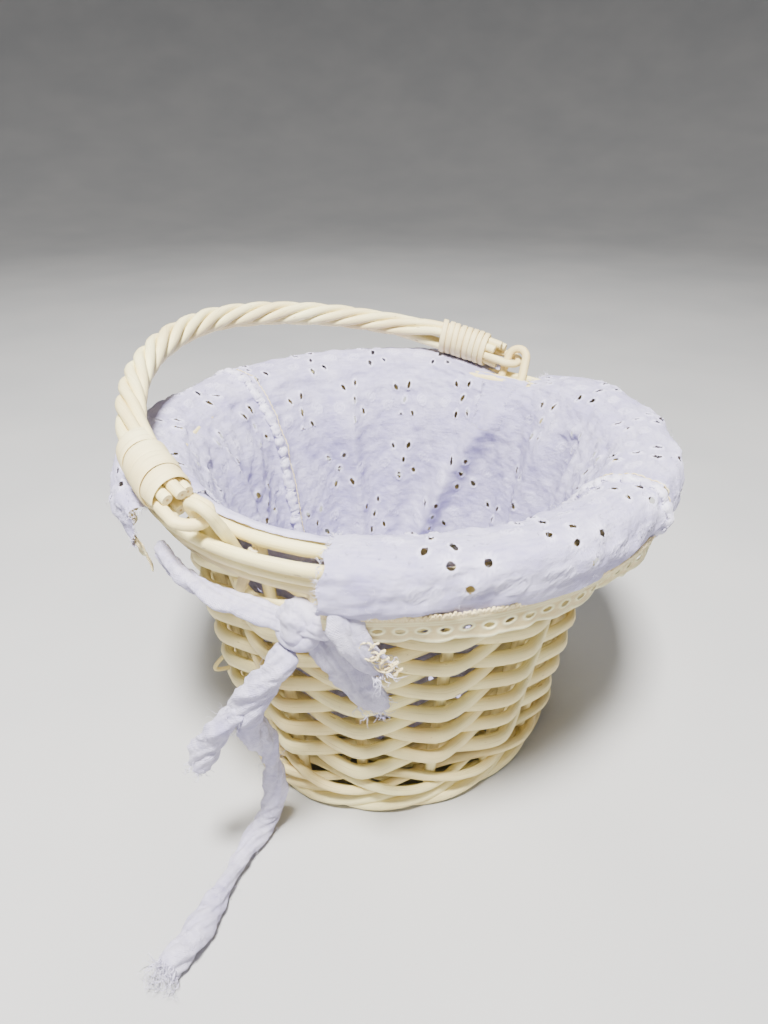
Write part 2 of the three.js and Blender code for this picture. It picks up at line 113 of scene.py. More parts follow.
FAR_LONG = [(109, 1, 104.5), (109.5, -2, 95), (108.5, -5, 84), (106.5, -7, 72), (104, -8, 60),
            (101.5, -8, 48), (99.5, -7, 36), (98.5, -5, 24), (99.5, -2.5, 13), (104.5, 0.5, 6.5),
            (112, 4, 4.9), (121, 7.5, 4.8), (130, 10, 4.8), (139, 11.5, 4.8), (148, 11.5, 4.8)]
FAR_SHORT = [(108.6, 10.5, 107), (109.5, 14.5, 100), (109.2, 17.5, 91), (107.5, 19.5, 82),
             (105.5, 21, 73)]


def linear(code):
    """An sRGB hex colour as linear red, green and blue."""
    parts = [int(code[i:i + 2], 16) / 255 for i in (0, 2, 4)]
    return tuple(c / 12.92 if c <= 0.04045 else ((c + 0.055) / 1.055) ** 2.4 for c in parts)


# ---------------------------------------------------------------- shapes

def unit(vectors):
    return vectors / np.maximum(np.linalg.norm(vectors, axis=-1, keepdims=True), 1e-9)


def smooth_step(value, low, high):
    """0 below low and 1 above high, with a cubic ease between them."""
    t = np.clip((value - low) / (high - low), 0, 1)
    return t * t * (3 - 2 * t)


def bump(value, middle, width):
    """A bell of height 1 at the middle, about width wide on each side."""
    return np.exp(-((value - middle) / width) ** 2)


def ripples(place, size, seed):
    """Soft uneven waves, mostly between -1 and 1: the sum of fourteen sines that run through
    the place in random directions, each about size long."""
    rng = np.random.default_rng(seed)
    count = 14
    place = np.asarray(place, float)
    ways = unit(rng.normal(size=(count, place.shape[-1])))
    lengths = size * rng.uniform(0.6, 1.7, count)
    waves = np.sin(place @ (TURN * ways / lengths[:, None]).T + rng.uniform(0, TURN, count))
    return waves.sum(-1) * 0.6 * math.sqrt(2 / count)


def stake_line(z):
    return WALL_FOOT + (WALL_RIM - WALL_FOOT) * z / RIM_HEIGHT


def oval(angle, reach, z, out=0.0):
    """A point of the oval family: (reach + out) cos angle, (reach x squeeze + out) sin angle
    and z, where squeeze, the width over the length, grows evenly with z."""
    angle, reach, z, out = np.broadcast_arrays(angle, reach, z, out)
    squeeze = SQUEEZE_FOOT + (SQUEEZE_RIM - SQUEEZE_FOOT) * z / RIM_HEIGHT
    return np.stack([(reach + out) * np.cos(angle), (reach * squeeze + out) * np.sin(angle), z], -1)


def outwards(angle):
    return np.stack([np.cos(angle), np.sin(angle), np.zeros_like(angle)], -1)


def path_lengths(points):
    steps = np.linalg.norm(np.diff(points, axis=0), axis=1)
    return np.concatenate([[0], np.cumsum(steps)])


def smooth_route(points, step):
    """A curve through the points: Catmull-Rom cubics, told off at an even step along them."""
    p = np.asarray(points, float)
    q = np.concatenate([[2 * p[0] - p[1]], p, [2 * p[-1] - p[-2]]])
    a, b, c, d = (q[i:len(q) - 3 + i, None] for i in range(4))
    t = np.linspace(0, 1, 16, endpoint=False)[None, :, None]
    curve = 0.5 * (2 * b + (c - a) * t + (2 * a - 5 * b + 4 * c - d) * t ** 2
                   + (3 * b - a - 3 * c + d) * t ** 3)
    return even_steps(np.concatenate([curve.reshape(-1, p.shape[1]), p[-1:]]), step)


def even_steps(curve, step):
    """The same curve with its points an even step apart."""
    length = path_lengths(curve)
    at = np.linspace(0, length[-1], max(2, round(length[-1] / step) + 1))
    return np.stack([np.interp(at, length, curve[:, i]) for i in range(curve.shape[1])], -1)


def grid_part(points, u, v, round_rows=False, round_cols=False, keep=None, tint=0.5):
    """A surface from a grid of points: each square of neighbours is a face, and u and v are
    its flat lengths for the materials. A round grid joins its last row or column to the first."""
    rows, cols = points.shape[:2]
    r = np.arange(rows if round_rows else rows - 1)[:, None, None]
    c = np.arange(cols if round_cols else cols - 1)[None, :, None]
    row = r + np.array([0, 0, 1, 1])
    col = c + np.array([0, 1, 1, 0])
    corners = ((row % rows) * cols + col % cols).reshape(-1, 4)
    flat = np.stack([u[row, col], v[row, col]], -1).reshape(-1, 4, 2)
    if keep is not None:
        kept = keep(corners)
        corners, flat = corners[kept], flat[kept]
    tints = np.broadcast_to(tint, points.shape[:2]).reshape(-1).astype(float)
    return {"points": points.reshape(-1, 3), "faces": [(corners, flat, 0)], "tint": tints}


def sweep(path, across, outline, ring=False, tint=0.5, cap=0):
    """Carries an outline along a path: point = path + x side + y up, where side is the across
    direction made square to the path and up completes the right-handed set. The outline is
    (rings, corners, 2), anticlockwise; a ring has no ends, and other ends get a fan each."""
    path = np.asarray(path, float)
    if ring:
        ahead = unit(np.roll(path, -1, 0) - np.roll(path, 1, 0))
    else:
        ahead = unit(np.gradient(path, axis=0))
    across = np.broadcast_to(across, path.shape)
    side = unit(across - (across * ahead).sum(-1, keepdims=True) * ahead)
    up = np.cross(ahead, side)
    outline = np.broadcast_to(outline, (len(path),) + np.shape(outline)[-2:])
    points = path[:, None] + outline[..., :1] * side[:, None] + outline[..., 1:] * up[:, None]
    rings, corners = points.shape[:2]
    along = path_lengths(np.concatenate([path, path[:1]]) if ring else path)
    around = np.linspace(0, 1, corners + 1) * TURN * np.abs(outline).max()
    v, u = np.meshgrid(along, around, indexing="ij")
    part = grid_part(points, u, v, round_rows=ring, round_cols=True, tint=tint)
    if not ring:
        for end, centre in ((0, path[0]), (rings - 1, path[-1])):
            middle = len(part["points"])
            part["points"] = np.concatenate([part["points"], centre[None]])
            part["tint"] = np.append(part["tint"], part["tint"][end * corners])
            first = end * corners + np.arange(corners)
            second = end * corners + (np.arange(corners) + 1) % corners
            if end == 0:
                first, second = second, first
            fan = np.stack([np.full(corners, middle), first, second], -1)
            local = np.concatenate([outline[end], [[0, 0]]])
            flat = local[np.stack([np.full(corners, corners), first - end * corners,
                                   second - end * corners], -1)]
            part["faces"].append((fan, flat, cap))
    return part


def oval_outline(deep, tall, corners=12, power=2.0):
    """A rounded outline: x = deep c and y = tall s, where c and s are the cosine and sine
    raised to 2 / power, so that a power over 2 flattens the sides."""
    deep, tall = np.broadcast_arrays(np.asarray(deep, float), np.asarray(tall, float))
    a = np.arange(corners) * TURN / corners
    c = np.sign(np.cos(a)) * np.abs(np.cos(a)) ** (2 / power)
    s = np.sign(np.sin(a)) * np.abs(np.sin(a)) ** (2 / power)
    return np.stack([deep[..., None] * c, tall[..., None] * s], -1)


def rounded_ends(count, ring_step, radius):
    """Share of the full radius at each ring: a small chamfer at both cut ends."""
    from_end = np.minimum(np.arange(count), np.arange(count)[::-1]) * ring_step
    return np.clip(0.86 + 0.14 * from_end / (0.25 * radius), 0, 1)


def threads(starts, ways, lengths, radius, curl, seed, rings=8, corners=4):
    """Loose cotton threads: point = start + way s + two sideways sines that grow with s, in a
    thin tube that narrows to its tip, for all the threads at once."""
    rng = np.random.default_rng(seed)
    n = len(starts)
    ways = unit(np.asarray(ways, float))
    side = unit(np.cross(ways, rng.normal(size=(n, 3))))
    other = np.cross(ways, side)
    s = np.linspace(0, 1, rings)[None, :, None]
    lengths = np.broadcast_to(lengths, n)[:, None, None]
    waves = rng.uniform(0.5, 1.6, (n, 1, 2)) * TURN
    phase = rng.uniform(0, TURN, (n, 1, 2))
    sway = curl * lengths * s * (np.sin(waves * s + phase) - np.sin(phase))
    spine = (np.asarray(starts, float)[:, None] + ways[:, None] * lengths * s
             + side[:, None] * sway[..., :1] + other[:, None] * sway[..., 1:])
    a = np.arange(corners) * TURN / corners
    thick = radius * (1 - 0.75 * s)[..., None]
    points = (spine[:, :, None] + thick * np.cos(a)[None, None, :, None] * side[:, None, None]
              + thick * np.sin(a)[None, None, :, None] * other[:, None, None])
    r = np.arange(rings - 1)[:, None, None]
    c = np.arange(corners)[None, :, None]
    one = ((r + np.array([0, 0, 1, 1])) * corners + (c + np.array([0, 1, 1, 0])) % corners)
    one = one.reshape(-1, 4)
    faces = (np.arange(n)[:, None, None] * rings * corners + one[None]).reshape(-1, 4)
    ends = np.arange(n)[:, None] * rings * corners + np.arange(corners)[None]
    tips = np.concatenate([ends[:, ::-1], ends + (rings - 1) * corners])
    tints = np.repeat(rng.uniform(0.3, 0.7, n), rings * corners)
    blank = np.zeros((len(faces), 4, 2)), np.zeros((len(tips), corners, 2))
    return {"points": points.reshape(-1, 3), "faces": [(faces, blank[0], 0), (tips, blank[1], 0)],
            "tint": tints}


def make_piece(name, parts, materials, nodes=(), body="basket", stitch=None,
               sharp=None):
    """Joins parts into one mesh object in metres, gives it its materials, and puts it on its
    body. tint is one number a part or point, stitch how much raised thread lies there."""
    counts = np.cumsum([0] + [len(p["points"]) for p in parts])
    faces = [(f + at, flat, m) for p, at in zip(parts, counts) for f, flat, m in p["faces"]]
    corners = np.concatenate([f.ravel() for f, _, _ in faces])
    sizes = np.concatenate([np.full(len(f), f.shape[1]) for f, _, _ in faces])
    mesh = bpy.data.meshes.new(name)
    mesh.vertices.add(int(counts[-1]))
    places = np.concatenate([p["points"] for p in parts]) * MM
    mesh.vertices.foreach_set("co", places.astype(np.float32).ravel())
    mesh.loops.add(len(corners))
    mesh.loops.foreach_set("vertex_index", corners.astype(np.int32))
    mesh.polygons.add(len(sizes))
    starts = np.concatenate([[0], np.cumsum(sizes)[:-1]])
    mesh.polygons.foreach_set("loop_start", starts.astype(np.int32))
    which = np.concatenate([np.full(len(f), m) for f, _, m in faces])
    mesh.polygons.foreach_set("material_index", which.astype(np.int32))
    mesh.update(calc_edges=True)
    flat = np.concatenate([flat.reshape(-1, 2) for _, flat, _ in faces]) * MM
    mesh.uv_layers.new(name="flat").data.foreach_set("uv", flat.astype(np.float32).ravel())
    values = {"tint": np.concatenate([p["tint"] for p in parts])}
    if stitch is not None:
        values["stitch"] = stitch
    for key, value in values.items():
        data = mesh.attributes.new(key, "FLOAT", "POINT").data
        data.foreach_set("value", np.asarray(value, np.float32).ravel())
    mesh.shade_smooth()
    if sharp is not None:
        mesh.set_sharp_from_angle(angle=sharp)
    mesh.validate()
    obj = bpy.data.objects.new(name, mesh)
    bpy.context.scene.collection.objects.link(obj)
    for material in materials:
        mesh.materials.append(material)
    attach(obj, body)
    if nodes:
        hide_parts(*nodes)
    return obj


def nodes_like(start):
    return [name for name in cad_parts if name.startswith(start)]


# ---------------------------------------------------------------- materials

def add_node(tree, kind, inputs=None, **settings):
    """Adds one node: settings are its properties, and each input is a number or a socket."""
    node = tree.nodes.new(kind)
    for key, value in settings.items():
        setattr(node, key, value)
    for key, value in (inputs or {}).items():
        socket = node.inputs[key]
        if isinstance(value, bpy.types.NodeSocket):
            tree.links.new(value, socket)
        else:
            socket.default_value = value
    return node


def ramp(tree, value, *stops):
    """A colour ramp on a value; each stop is its place and its colour."""
    node = add_node(tree, "ShaderNodeValToRGB", {"Fac": value})
    elements = node.color_ramp.elements
    while len(elements) < len(stops):
        elements.new(0.5)
    for element, (at, colour) in zip(elements, stops):
        element.position = at
        element.color = (*colour, 1)
    return node.outputs["Color"]


def new_material(name, **shader):
    """An empty material with its Principled shader, and constants set on the shader itself."""
    material = bpy.data.materials.new(name)
    material.use_nodes = True
    tree = material.node_tree
    base = tree.nodes["Principled BSDF"]
    for key, value in shader.items():
        base.inputs[key.replace("_", " ").capitalize()].default_value = value
    return material, tree, base


def mix(tree, share, a, b, blend="MIX"):
    """One colour over another: share, a and b are numbers, colours or sockets."""
    a, b = (c if isinstance(c, bpy.types.NodeSocket) else (*c, 1) for c in (a, b))
    node = add_node(tree, "ShaderNodeMix", {0: share, 6: a, 7: b}, data_type="RGBA",
                    blend_type=blend)
    return node.outputs[2]


def noise_at(tree, place, scale, squash, detail=3.0, rough=0.55):
    """Noise of `scale` waves a metre, drawn out by the squash factors."""
    spread = add_node(tree, "ShaderNodeMapping", {"Vector": place, "Scale": squash})
    return add_node(tree, "ShaderNodeTexNoise",
                    {"Vector": spread.outputs[0], "Scale": scale, "Detail": detail,
                     "Roughness": rough}).outputs["Fac"]


def relief(tree, base, height, strength, distance, under=None):
    """Bump of a height map whose full range is distance metres deep."""
    inputs = {"Height": height, "Strength": strength, "Distance": distance}
    if under is not None:
        inputs["Normal"] = under
    node = add_node(tree, "ShaderNodeBump", inputs)
    tree.links.new(node.outputs["Normal"], base.inputs["Normal"])
    return node.outputs["Normal"]


def willow(name, light, warm, speck, streak_width=0.0007, specks=0.5):
    """Peeled white willow, bleached ivory: a matt to satin wood skin with fine streaks along
    the rod about streak_width apart, warm patches a few centimetres long and a few brown
    specks where buds grew."""
    material, tree, base = new_material(name, roughness=0.52)
    base.inputs["Specular IOR Level"].default_value = 0.42
    flat = add_node(tree, "ShaderNodeUVMap", uv_map="flat").outputs[0]
    solid = add_node(tree, "ShaderNodeTexCoord").outputs["Object"]
    tint = add_node(tree, "ShaderNodeAttribute", attribute_name="tint").outputs["Fac"]
    streaks = noise_at(tree, flat, 1 / streak_width, (1.0, 0.035, 1.0), 4.0, 0.6)
    patches = noise_at(tree, solid, 38.0, (1.0, 1.0, 1.0), 3.0)
    tone = ramp(tree, patches, (0.36, light), (0.72, warm))
    rod_tone = ramp(tree, tint, (0.1, warm), (0.7, light))
    body = mix(tree, 0.45, tone, rod_tone)
    dark = tuple(c * 0.5 for c in warm)
    streaked = ramp(tree, streaks, (0.28, dark), (0.46, (1, 1, 1)))
    body = mix(tree, 0.35, body, mix(tree, 1.0, body, streaked, "MULTIPLY"))
    spots = noise_at(tree, flat, 520.0, (1.0, 0.45, 1.0), 1.0, 0.4)
    spot = ramp(tree, spots, (0.735, (0, 0, 0)), (0.78, (1, 1, 1)))
    share = add_node(tree, "ShaderNodeMath", {0: spot, 1: specks}, operation="MULTIPLY").outputs[0]
    tree.links.new(mix(tree, share, body, speck), base.inputs["Base Color"])
    fine = relief(tree, base, streaks, 0.5, 0.00012)
    relief(tree, base, patches, 0.35, 0.0006, fine)
    shine = add_node(tree, "ShaderNodeMapRange", {"Value": streaks, "To Min": 0.44, "To Max": 0.66})
    tree.links.new(shine.outputs[0], base.inputs["Roughness"])
    return material


def end_grain(name, light, dark):
    """Cut end of a willow rod: a pale face with rings about 0.5 mm apart and a darker pith."""
    material, tree, base = new_material(name, roughness=0.8)
    flat = add_node(tree, "ShaderNodeUVMap", uv_map="flat").outputs[0]
    away = add_node(tree, "ShaderNodeVectorMath", {0: flat}, operation="LENGTH").outputs["Value"]
    rings = add_node(tree, "ShaderNodeMath", {0: away, 1: TURN / 0.00055}, operation="MULTIPLY")
    wave = add_node(tree, "ShaderNodeMath", {0: rings.outputs[0]}, operation="SINE").outputs[0]
    ringed = ramp(tree, wave, (0.0, tuple(c * 0.86 for c in light)), (0.9, light))
    pith = add_node(tree, "ShaderNodeMapRange",
                    {"Value": away, "From Min": 0.0003, "From Max": 0.0007,
                     "To Min": 0.8, "To Max": 0.0}).outputs[0]
    tree.links.new(mix(tree, pith, ringed, dark), base.inputs["Base Color"])
    return material


def woven_cloth(name, light, deep, thread=0.0006, nap=0.12):
    """Cotton lawn, plain woven and washed soft: dull, with a short nap that brightens its
    edges, threads drawn `thread` apart (about twice the real spacing, so that they show), a
    slightly uneven dye and, where the denser embroidery thread lies, a paler colour that is a
    painted sheen on the raised thread."""
    material, tree, base = new_material(name, roughness=0.92)
    base.inputs["Specular IOR Level"].default_value = 0.2
    base.inputs["Sheen Weight"].default_value = nap
    base.inputs["Sheen Roughness"].default_value = 0.45
    place = add_node(tree, "ShaderNodeUVMap", uv_map="flat").outputs[0]
    solid = add_node(tree, "ShaderNodeTexCoord").outputs["Object"]
    stitch = add_node(tree, "ShaderNodeAttribute", attribute_name="stitch").outputs["Fac"]
    dye = noise_at(tree, solid, 55.0, (1.0, 1.0, 1.0), 4.0, 0.6)
    slub = noise_at(tree, place, 1 / (3 * thread), (0.25, 1.0, 1.0), 2.0)
    body = ramp(tree, dye, (0.3, deep), (0.66, light))
    thick = ramp(tree, slub, (0.35, tuple(c * 0.9 for c in deep)), (0.6, light))
    body = mix(tree, 0.3, body, thick)
    # Paler where the embroidery thread lies: a painted sheen on the raised thread.
    pale = tuple(min(1.0, c * 1.12 + 0.1) for c in light)
    tree.links.new(mix(tree, stitch, body, pale), base.inputs["Base Color"])
    parts = add_node(tree, "ShaderNodeSeparateXYZ", {0: place})
    waves = []
    for axis in ("X", "Y"):
        turns = add_node(tree, "ShaderNodeMath", {0: parts.outputs[axis], 1: TURN / thread},
                         operation="MULTIPLY")
        waves.append(add_node(tree, "ShaderNodeMath", {0: turns.outputs[0]}, operation="SINE"))
    weave = add_node(tree, "ShaderNodeMath", {0: waves[0].outputs[0], 1: waves[1].outputs[0]},
                     operation="MULTIPLY").outputs[0]
    fine = relief(tree, base, weave, 0.6, 0.00015)
    uneven = relief(tree, base, slub, 0.6, 0.0004, fine)
    crepe = noise_at(tree, solid, 380.0, (1.0, 1.0, 1.0), 3.0, 0.65)
    rumpled = relief(tree, base, crepe, 0.6, 0.0009, uneven)
    fuzz = noise_at(tree, solid, 1100.0, (1.0, 1.0, 1.0), 2.0)
    relief(tree, base, fuzz, 0.5, 0.0004, rumpled)
    return material


def thread_finish(name, colour, dark):
    """Spun cotton or lace thread: dull and twisted, its strands drawn 0.9 mm apart, about
    three times the real spacing, so that they show."""
    material, tree, base = new_material(name, roughness=0.85)
    base.inputs["Sheen Weight"].default_value = 0.25
    place = add_node(tree, "ShaderNodeUVMap", uv_map="flat").outputs[0]
    solid = add_node(tree, "ShaderNodeTexCoord").outputs["Object"]
    strands = noise_at(tree, place, 1 / 0.0009, (1.0, 0.5, 1.0), 3.0)
    patches = noise_at(tree, solid, 300.0, (1.0, 1.0, 1.0), 3.0)
    body = mix(tree, 0.5, ramp(tree, strands, (0.3, dark), (0.6, colour)),
               ramp(tree, patches, (0.35, dark), (0.6, colour)))
    tree.links.new(body, base.inputs["Base Color"])
    relief(tree, base, strands, 0.6, 0.0002)
    return material


FINISHES = {}


def finish(key):
    """The material of that name, made the first time that it is asked for."""
    if key in FINISHES:
        return FINISHES[key]
    colours = bpy.context.scene.basket_colours
    ivory, tan = tuple(colours.willow), tuple(colours.willow_warm)
    lilac, violet = tuple(colours.cotton), tuple(colours.cotton_deep)
    cream, straw = tuple(colours.lace), tuple(colours.lace_deep)
    brown = linear("9A7A4E")
    makers = {
        # Thick rods of the wall and border: bleached, dull, with clear streaks.
        "bleached_willow_rod": lambda: willow("bleached_willow_rod", ivory, tan, brown),
        # Handle rods: the same wood rubbed smooth by hands, so paler and finer.
        "handled_willow_rod": lambda: willow("handled_willow_rod", linear("F9F1B8"), tan, brown,
                                             0.0006, 0.6),
        # Split willow skein wound round the bundle: flat, smooth, with long streaks.
        "split_willow_skein": lambda: willow("split_willow_skein", linear("F9F2C0"), tan, brown,
                                             0.0009, 0.3),
        "cut_willow_end": lambda: end_grain("cut_willow_end", linear("EADFBE"), linear("B0925F")),
        # Broderie anglaise cotton of the liner: soft lilac with denser stitching.
        "lilac_eyelet_cotton": lambda: woven_cloth("lilac_eyelet_cotton", lilac, violet),
        # The same cotton torn into ties and crumpled.
        "lilac_tie_cotton": lambda: woven_cloth("lilac_tie_cotton", linear("D2CDE0"),
                                                linear("A29CC0"), 0.0008, 0.2),
        # Ivory cotton lace, cream against the lilac.
        "ivory_cotton_lace": lambda: woven_cloth("ivory_cotton_lace", cream, straw, 0.0007, 0.1),
        "lilac_sewing_thread": lambda: thread_finish("lilac_sewing_thread", linear("E6E2F0"),
                                                     linear("AFA9CC")),
        "ivory_lace_thread": lambda: thread_finish("ivory_lace_thread", cream, straw),
    }
    FINISHES[key] = makers[key]()
    return FINISHES[key]


# ---------------------------------------------------------------- willow pieces

def rod_parts(path, across, deep, tall, step, seed, corners=12, power=2.2, cap=1, ends=True):
    """One willow rod: a rounded outline carried along the path, its size swaying a few
    hundredths, a slow waver of the whole rod, a bud scar here and there, and cut ends."""
    rng = np.random.default_rng(seed)
    along = path_lengths(path)[:, None]
    sway = 1 + 0.035 * ripples(along, 60, seed) + 0.02 * ripples(along, 14, seed + 1)
    for at in rng.uniform(0, along[-1, 0], max(1, int(along[-1, 0] / 130))):
        sway = sway + 0.07 * bump(along[:, 0], at, 1.6)
    if ends:
        sway = sway * rounded_ends(len(path), step, deep)
    outline = oval_outline(deep * sway, tall * sway, corners, power)
    return sweep(path, across, outline, tint=rng.uniform(0.25, 0.9), cap=cap)


def rolled_ring(middle, z, reach_sway, height_sway, lean, radius, seed, flow=1):
    """A border that rolls round the basket: three strands that are one rod going round three
    times, so strand phase = 16 turns / 3. At phase p the rod lies out by lean - reach_sway
    cos p and up by flow height_sway sin p. It is cut into nine lengths whose ends lie inside."""
    parts = []
    edges = np.round(np.linspace(0, STAKES, 9 + 1)) * 3 / STAKES
    for k, (low, high) in enumerate(zip(edges[:-1], edges[1:])):
        reach = middle + lean
        count = int((high - low) * TURN * reach * 0.93 / 1.6)
        turn = np.linspace(low + 0.002, high - 0.002, count)
        phase = TURN * turn * STAKES / 3
        angle = FIRST_STAKE + TURN * turn
        drift = 0.25 * ripples(turn[:, None] * 400, 50, seed + 7 * k)
        out = lean - reach_sway * np.cos(phase) + drift
        path = oval(angle, middle, z + flow * height_sway * np.sin(phase) + drift, out)
        parts.append(rod_parts(path, outwards(angle), radius, radius, 1.6, seed + k))
    return parts


def wall_weave_parts(deep, tall):
    """Two weavers chase each other up the wall. Each goes out round one stake and in behind
    the next: out = 5.25 w, where w is a cosine sharpened towards straight runs with its bends
    at the stakes (the arcsine of 0.965 cosine, over its largest value). Each is pieced from
    rods a little over a turn long, thick end first, whose ends hide behind a stake."""
    parts = []
    for k in (0, 1):
        edges = [0.0]
        rng = np.random.default_rng(40 + k)
        while edges[-1] < WEAVE_TURNS - 0.7:
            stakes = 2 * round(rng.uniform(15, 21) / 2)
            # Even stakes from the start are where this weaver lies outside, odd ones inside.
            edges.append(min(WEAVE_TURNS, (round(edges[-1] * STAKES) // 2 * 2 + stakes + 1) / STAKES))
        edges[-1] = WEAVE_TURNS
        for j, (low, high) in enumerate(zip(edges[:-1], edges[1:])):
            count = int((high - low) * STAKES * 12)
            turn = np.linspace(low + 0.0012, high - 0.0012, count)
            angle = FIRST_STAKE + TURN * turn + math.pi * k
            wave = np.arcsin(0.965 * np.cos(STAKES * math.pi * turn)) / math.asin(0.965)
            wave = wave * (-1 if k else 1)
            share = (turn - low) / (high - low)
            drift = 0.3 * ripples(turn[:, None] * 500, 45, 60 + 10 * k + j)
            z = WEAVE_START + 2 * ROW_PITCH * turn + drift
            path = oval(angle, stake_line(z), z, WEAVE_SWAY * wave)
            taper = 1.07 - 0.17 * share
            seed = 100 + 20 * k + j
            part = rod_parts(path, outwards(angle), deep * taper, tall * taper, 2.6, seed)
            parts.append(part)
    return parts


def stake_parts():
    """Sixteen uprights: straight up the taper with a waver of a few tenths."""
    parts = []
    for i in range(STAKES):
        angle = FIRST_STAKE + TURN * i / STAKES
        z = np.linspace(7.5, 134.2, 60)
        out = 0.3 * ripples(z[:, None], 40, 300 + i)
        path = oval(angle, stake_line(z), z, out)
        parts.append(rod_parts(path, outwards(np.full(60, angle)), *RODS["stake"], 2.1, 300 + i,
                               10))
    return parts


def base_parts():
    """Three sticks cross three; their twelve arms open from rows 6 mm apart at the middle to
    even spokes. Two weavers spiral out over and under them: up = 3.3 cos(6 angle)."""
    parts = []
    for i in range(12):
        spoke = TURN * (i + 0.5) / 12 + BASE_TURN
        quarter = math.floor((spoke - BASE_TURN) / (TURN / 4) + 0.5) * TURN / 4
        row = ((i + 1) % 3 - 1) * 6.0
        reach = stake_line(BASE_LEVEL) - 1.5
        share = np.linspace(0, 1, 50)
        straight = np.stack([share * reach, np.full(50, row)], -1)
        turned = spoke - quarter
        fan = share[:, None] * reach * np.array([math.cos(turned), math.sin(turned)])
        ease = smooth_step(share, 0.1, 0.75)[:, None]
        flat = straight * (1 - ease) + fan * ease
        c, s = math.cos(quarter), math.sin(quarter)
        x = flat[:, 0] * c - flat[:, 1] * s
        y = (flat[:, 0] * s + flat[:, 1] * c) * SQUEEZE_FOOT
        lift = (0.9 if i % 6 < 3 else -0.9) * (1 - smooth_step(share, 0.15, 0.4))
        path = np.stack([x, y, BASE_LEVEL + lift], -1)
        parts.append(rod_parts(path, np.array([0, 0, 1.0]), *RODS["base stick"], 1.4, 400 + i,
                               10))
    sticks = len(parts)
    for k in (0, 1):
        turn = np.linspace(0, BASE_WEAVE_TURNS, 900)
        angle = TURN * turn + math.pi * k + BASE_TURN
        reach = 13.5 + (stake_line(BASE_LEVEL) - 17.5) * turn / BASE_WEAVE_TURNS
        # The second rod goes under where the first goes over.
        wave = np.cos(6 * (angle - BASE_TURN - TURN / 24)) * (-1 if k else 1)
        path = oval(angle, reach, BASE_LEVEL + 3.3 * wave)
        parts.append(rod_parts(path, outwards(angle), *RODS["base weaver"], 0.5, 430 + k, 10))
    return parts[:sticks], parts[sticks:]


def rim_parts():
    """Five border rods: hoops that waver by under half a millimetre, each with one joint."""
    places = [(13.8, 136.0), (12.0, 131.0), (10.2, 126.0), (3.9, 136.9), (-0.8, 136.9)]
    parts = []
    for i, (out, z) in enumerate(places):
        joint = math.radians((250, 285, 60, 225, 310)[i])
        angle = joint + np.linspace(0.006, TURN - 0.006, 420)
        lap = np.stack([np.cos(angle), np.sin(angle)], -1) * 90
        height = z + 0.45 * ripples(lap, 95, 500 + i)
        reach = out + 0.4 * ripples(lap, 80, 520 + i)
        path = oval(angle, stake_line(z), height, reach)
        parts.append(rod_parts(path, outwards(angle), *RODS["border"], 1.5, 540 + i))
    return parts


def rim_end_parts():
    """Cut stake ends that poke out below the border in the bare gaps, and a short twig."""
    stubs = [((-1, math.radians(187), 6.5, 133.0), (9.8, 117.5)),
             ((1, math.radians(199), 9.0, 132.0), (11.8, 121.5)),
             ((1, math.radians(-8), 7.0, 132.0), (10.2, 118.5))]
    parts = []
    for k, ((way, angle, out, top), (low_out, low)) in enumerate(stubs):
        share = np.linspace(0, 1, 16)
        angles = angle + way * 0.05 * share
        path = oval(angles, stake_line(125), top + (low - top) * share, out + (low_out - out) * share)
        parts.append(rod_parts(path, outwards(angles), *RODS["stub"], 0.9, 570 + k))
    bend = np.linspace(0, 1, 40)
    angle = math.radians(141) + 0.085 * np.sin(math.pi * bend) * 0.6
    path = oval(angle, stake_line(38), 33 + 9 * bend, 3.0 + 8.5 * np.sin(math.pi * bend) ** 0.7)
    parts.append(rod_parts(path, outwards(angle), *RODS["twig"], 0.5, 580, 8))
    return parts


def rim_loop_parts(side):
    """An upside-down U that leans outwards by atan 0.5; its legs dive behind the border."""
    lean = np.array([0.4472, 0, 0.8944])
    middle = np.array([107.045, 0, 150.596]) - 5.0 * lean
    legs = [(5.0, -21.4), (5.3, -15), (5.6, -7.5)]
    arc = [(5 * math.cos(a), 5 * math.sin(a)) for a in np.linspace(0, math.pi, 9)]
    places = legs + arc + [(-y, z) for y, z in legs[::-1]]
    points = [middle + along * lean + np.array([0, y, 0]) for y, along in places]
    path = smooth_route(points, 0.7) * np.array([side, 1, 1])
    return rod_parts(path, np.array([side * 0.894, 0, -0.447]), *RODS["loop"], 0.7, 600 + side)


# ---------------------------------------------------------------- handle

def arch(phi):
    """The handle's middle line, a superellipse: x = -span c and z = reach s, where c and s are
    the cosine and sine of phi raised to 2 / power."""
    c, s = np.cos(phi), np.sin(phi)
    k = 2 / ARCH_POWER
    return np.stack([-ARCH_SPAN * np.sign(c) * np.abs(c) ** k, np.zeros_like(phi),
                     ARCH_REACH * np.abs(s) ** k], -1)


def phi_at(z):
    return np.arcsin((np.asarray(z, float) / ARCH_REACH) ** (ARCH_POWER / 2))


def beside_arch(phi, radius, angle):
    """A point beside the arch, turned from outwards towards the arch's own normal, and its
    direction from the middle line."""
    ahead = unit(arch(phi + 1e-4) - arch(phi - 1e-4))
    out = np.stack([-ahead[..., 2], np.zeros_like(phi), ahead[..., 0]], -1)
    away = out * np.cos(angle)[..., None] + np.array([0, 1, 0]) * np.sin(angle)[..., None]
    return arch(phi) + away * np.asarray(radius)[..., None], away


def lean_back(points):
    """From the upright handle to its rest place: turned about X by the rest tilt, then up."""
    c, s = math.cos(REST_TILT), math.sin(REST_TILT)
    x, y, z = points[..., 0], points[..., 1], points[..., 2]
    return np.stack([x, y * c + z * s, z * c - y * s], -1)


def place_handle(part):
    part["points"] = lean_back(part["points"]) + np.array([0, 0, PIVOT_Z])
    return part


def place_angle(place):
    return math.pi / BINDING_PLACES / 2 + TURN * place / BINDING_PLACES


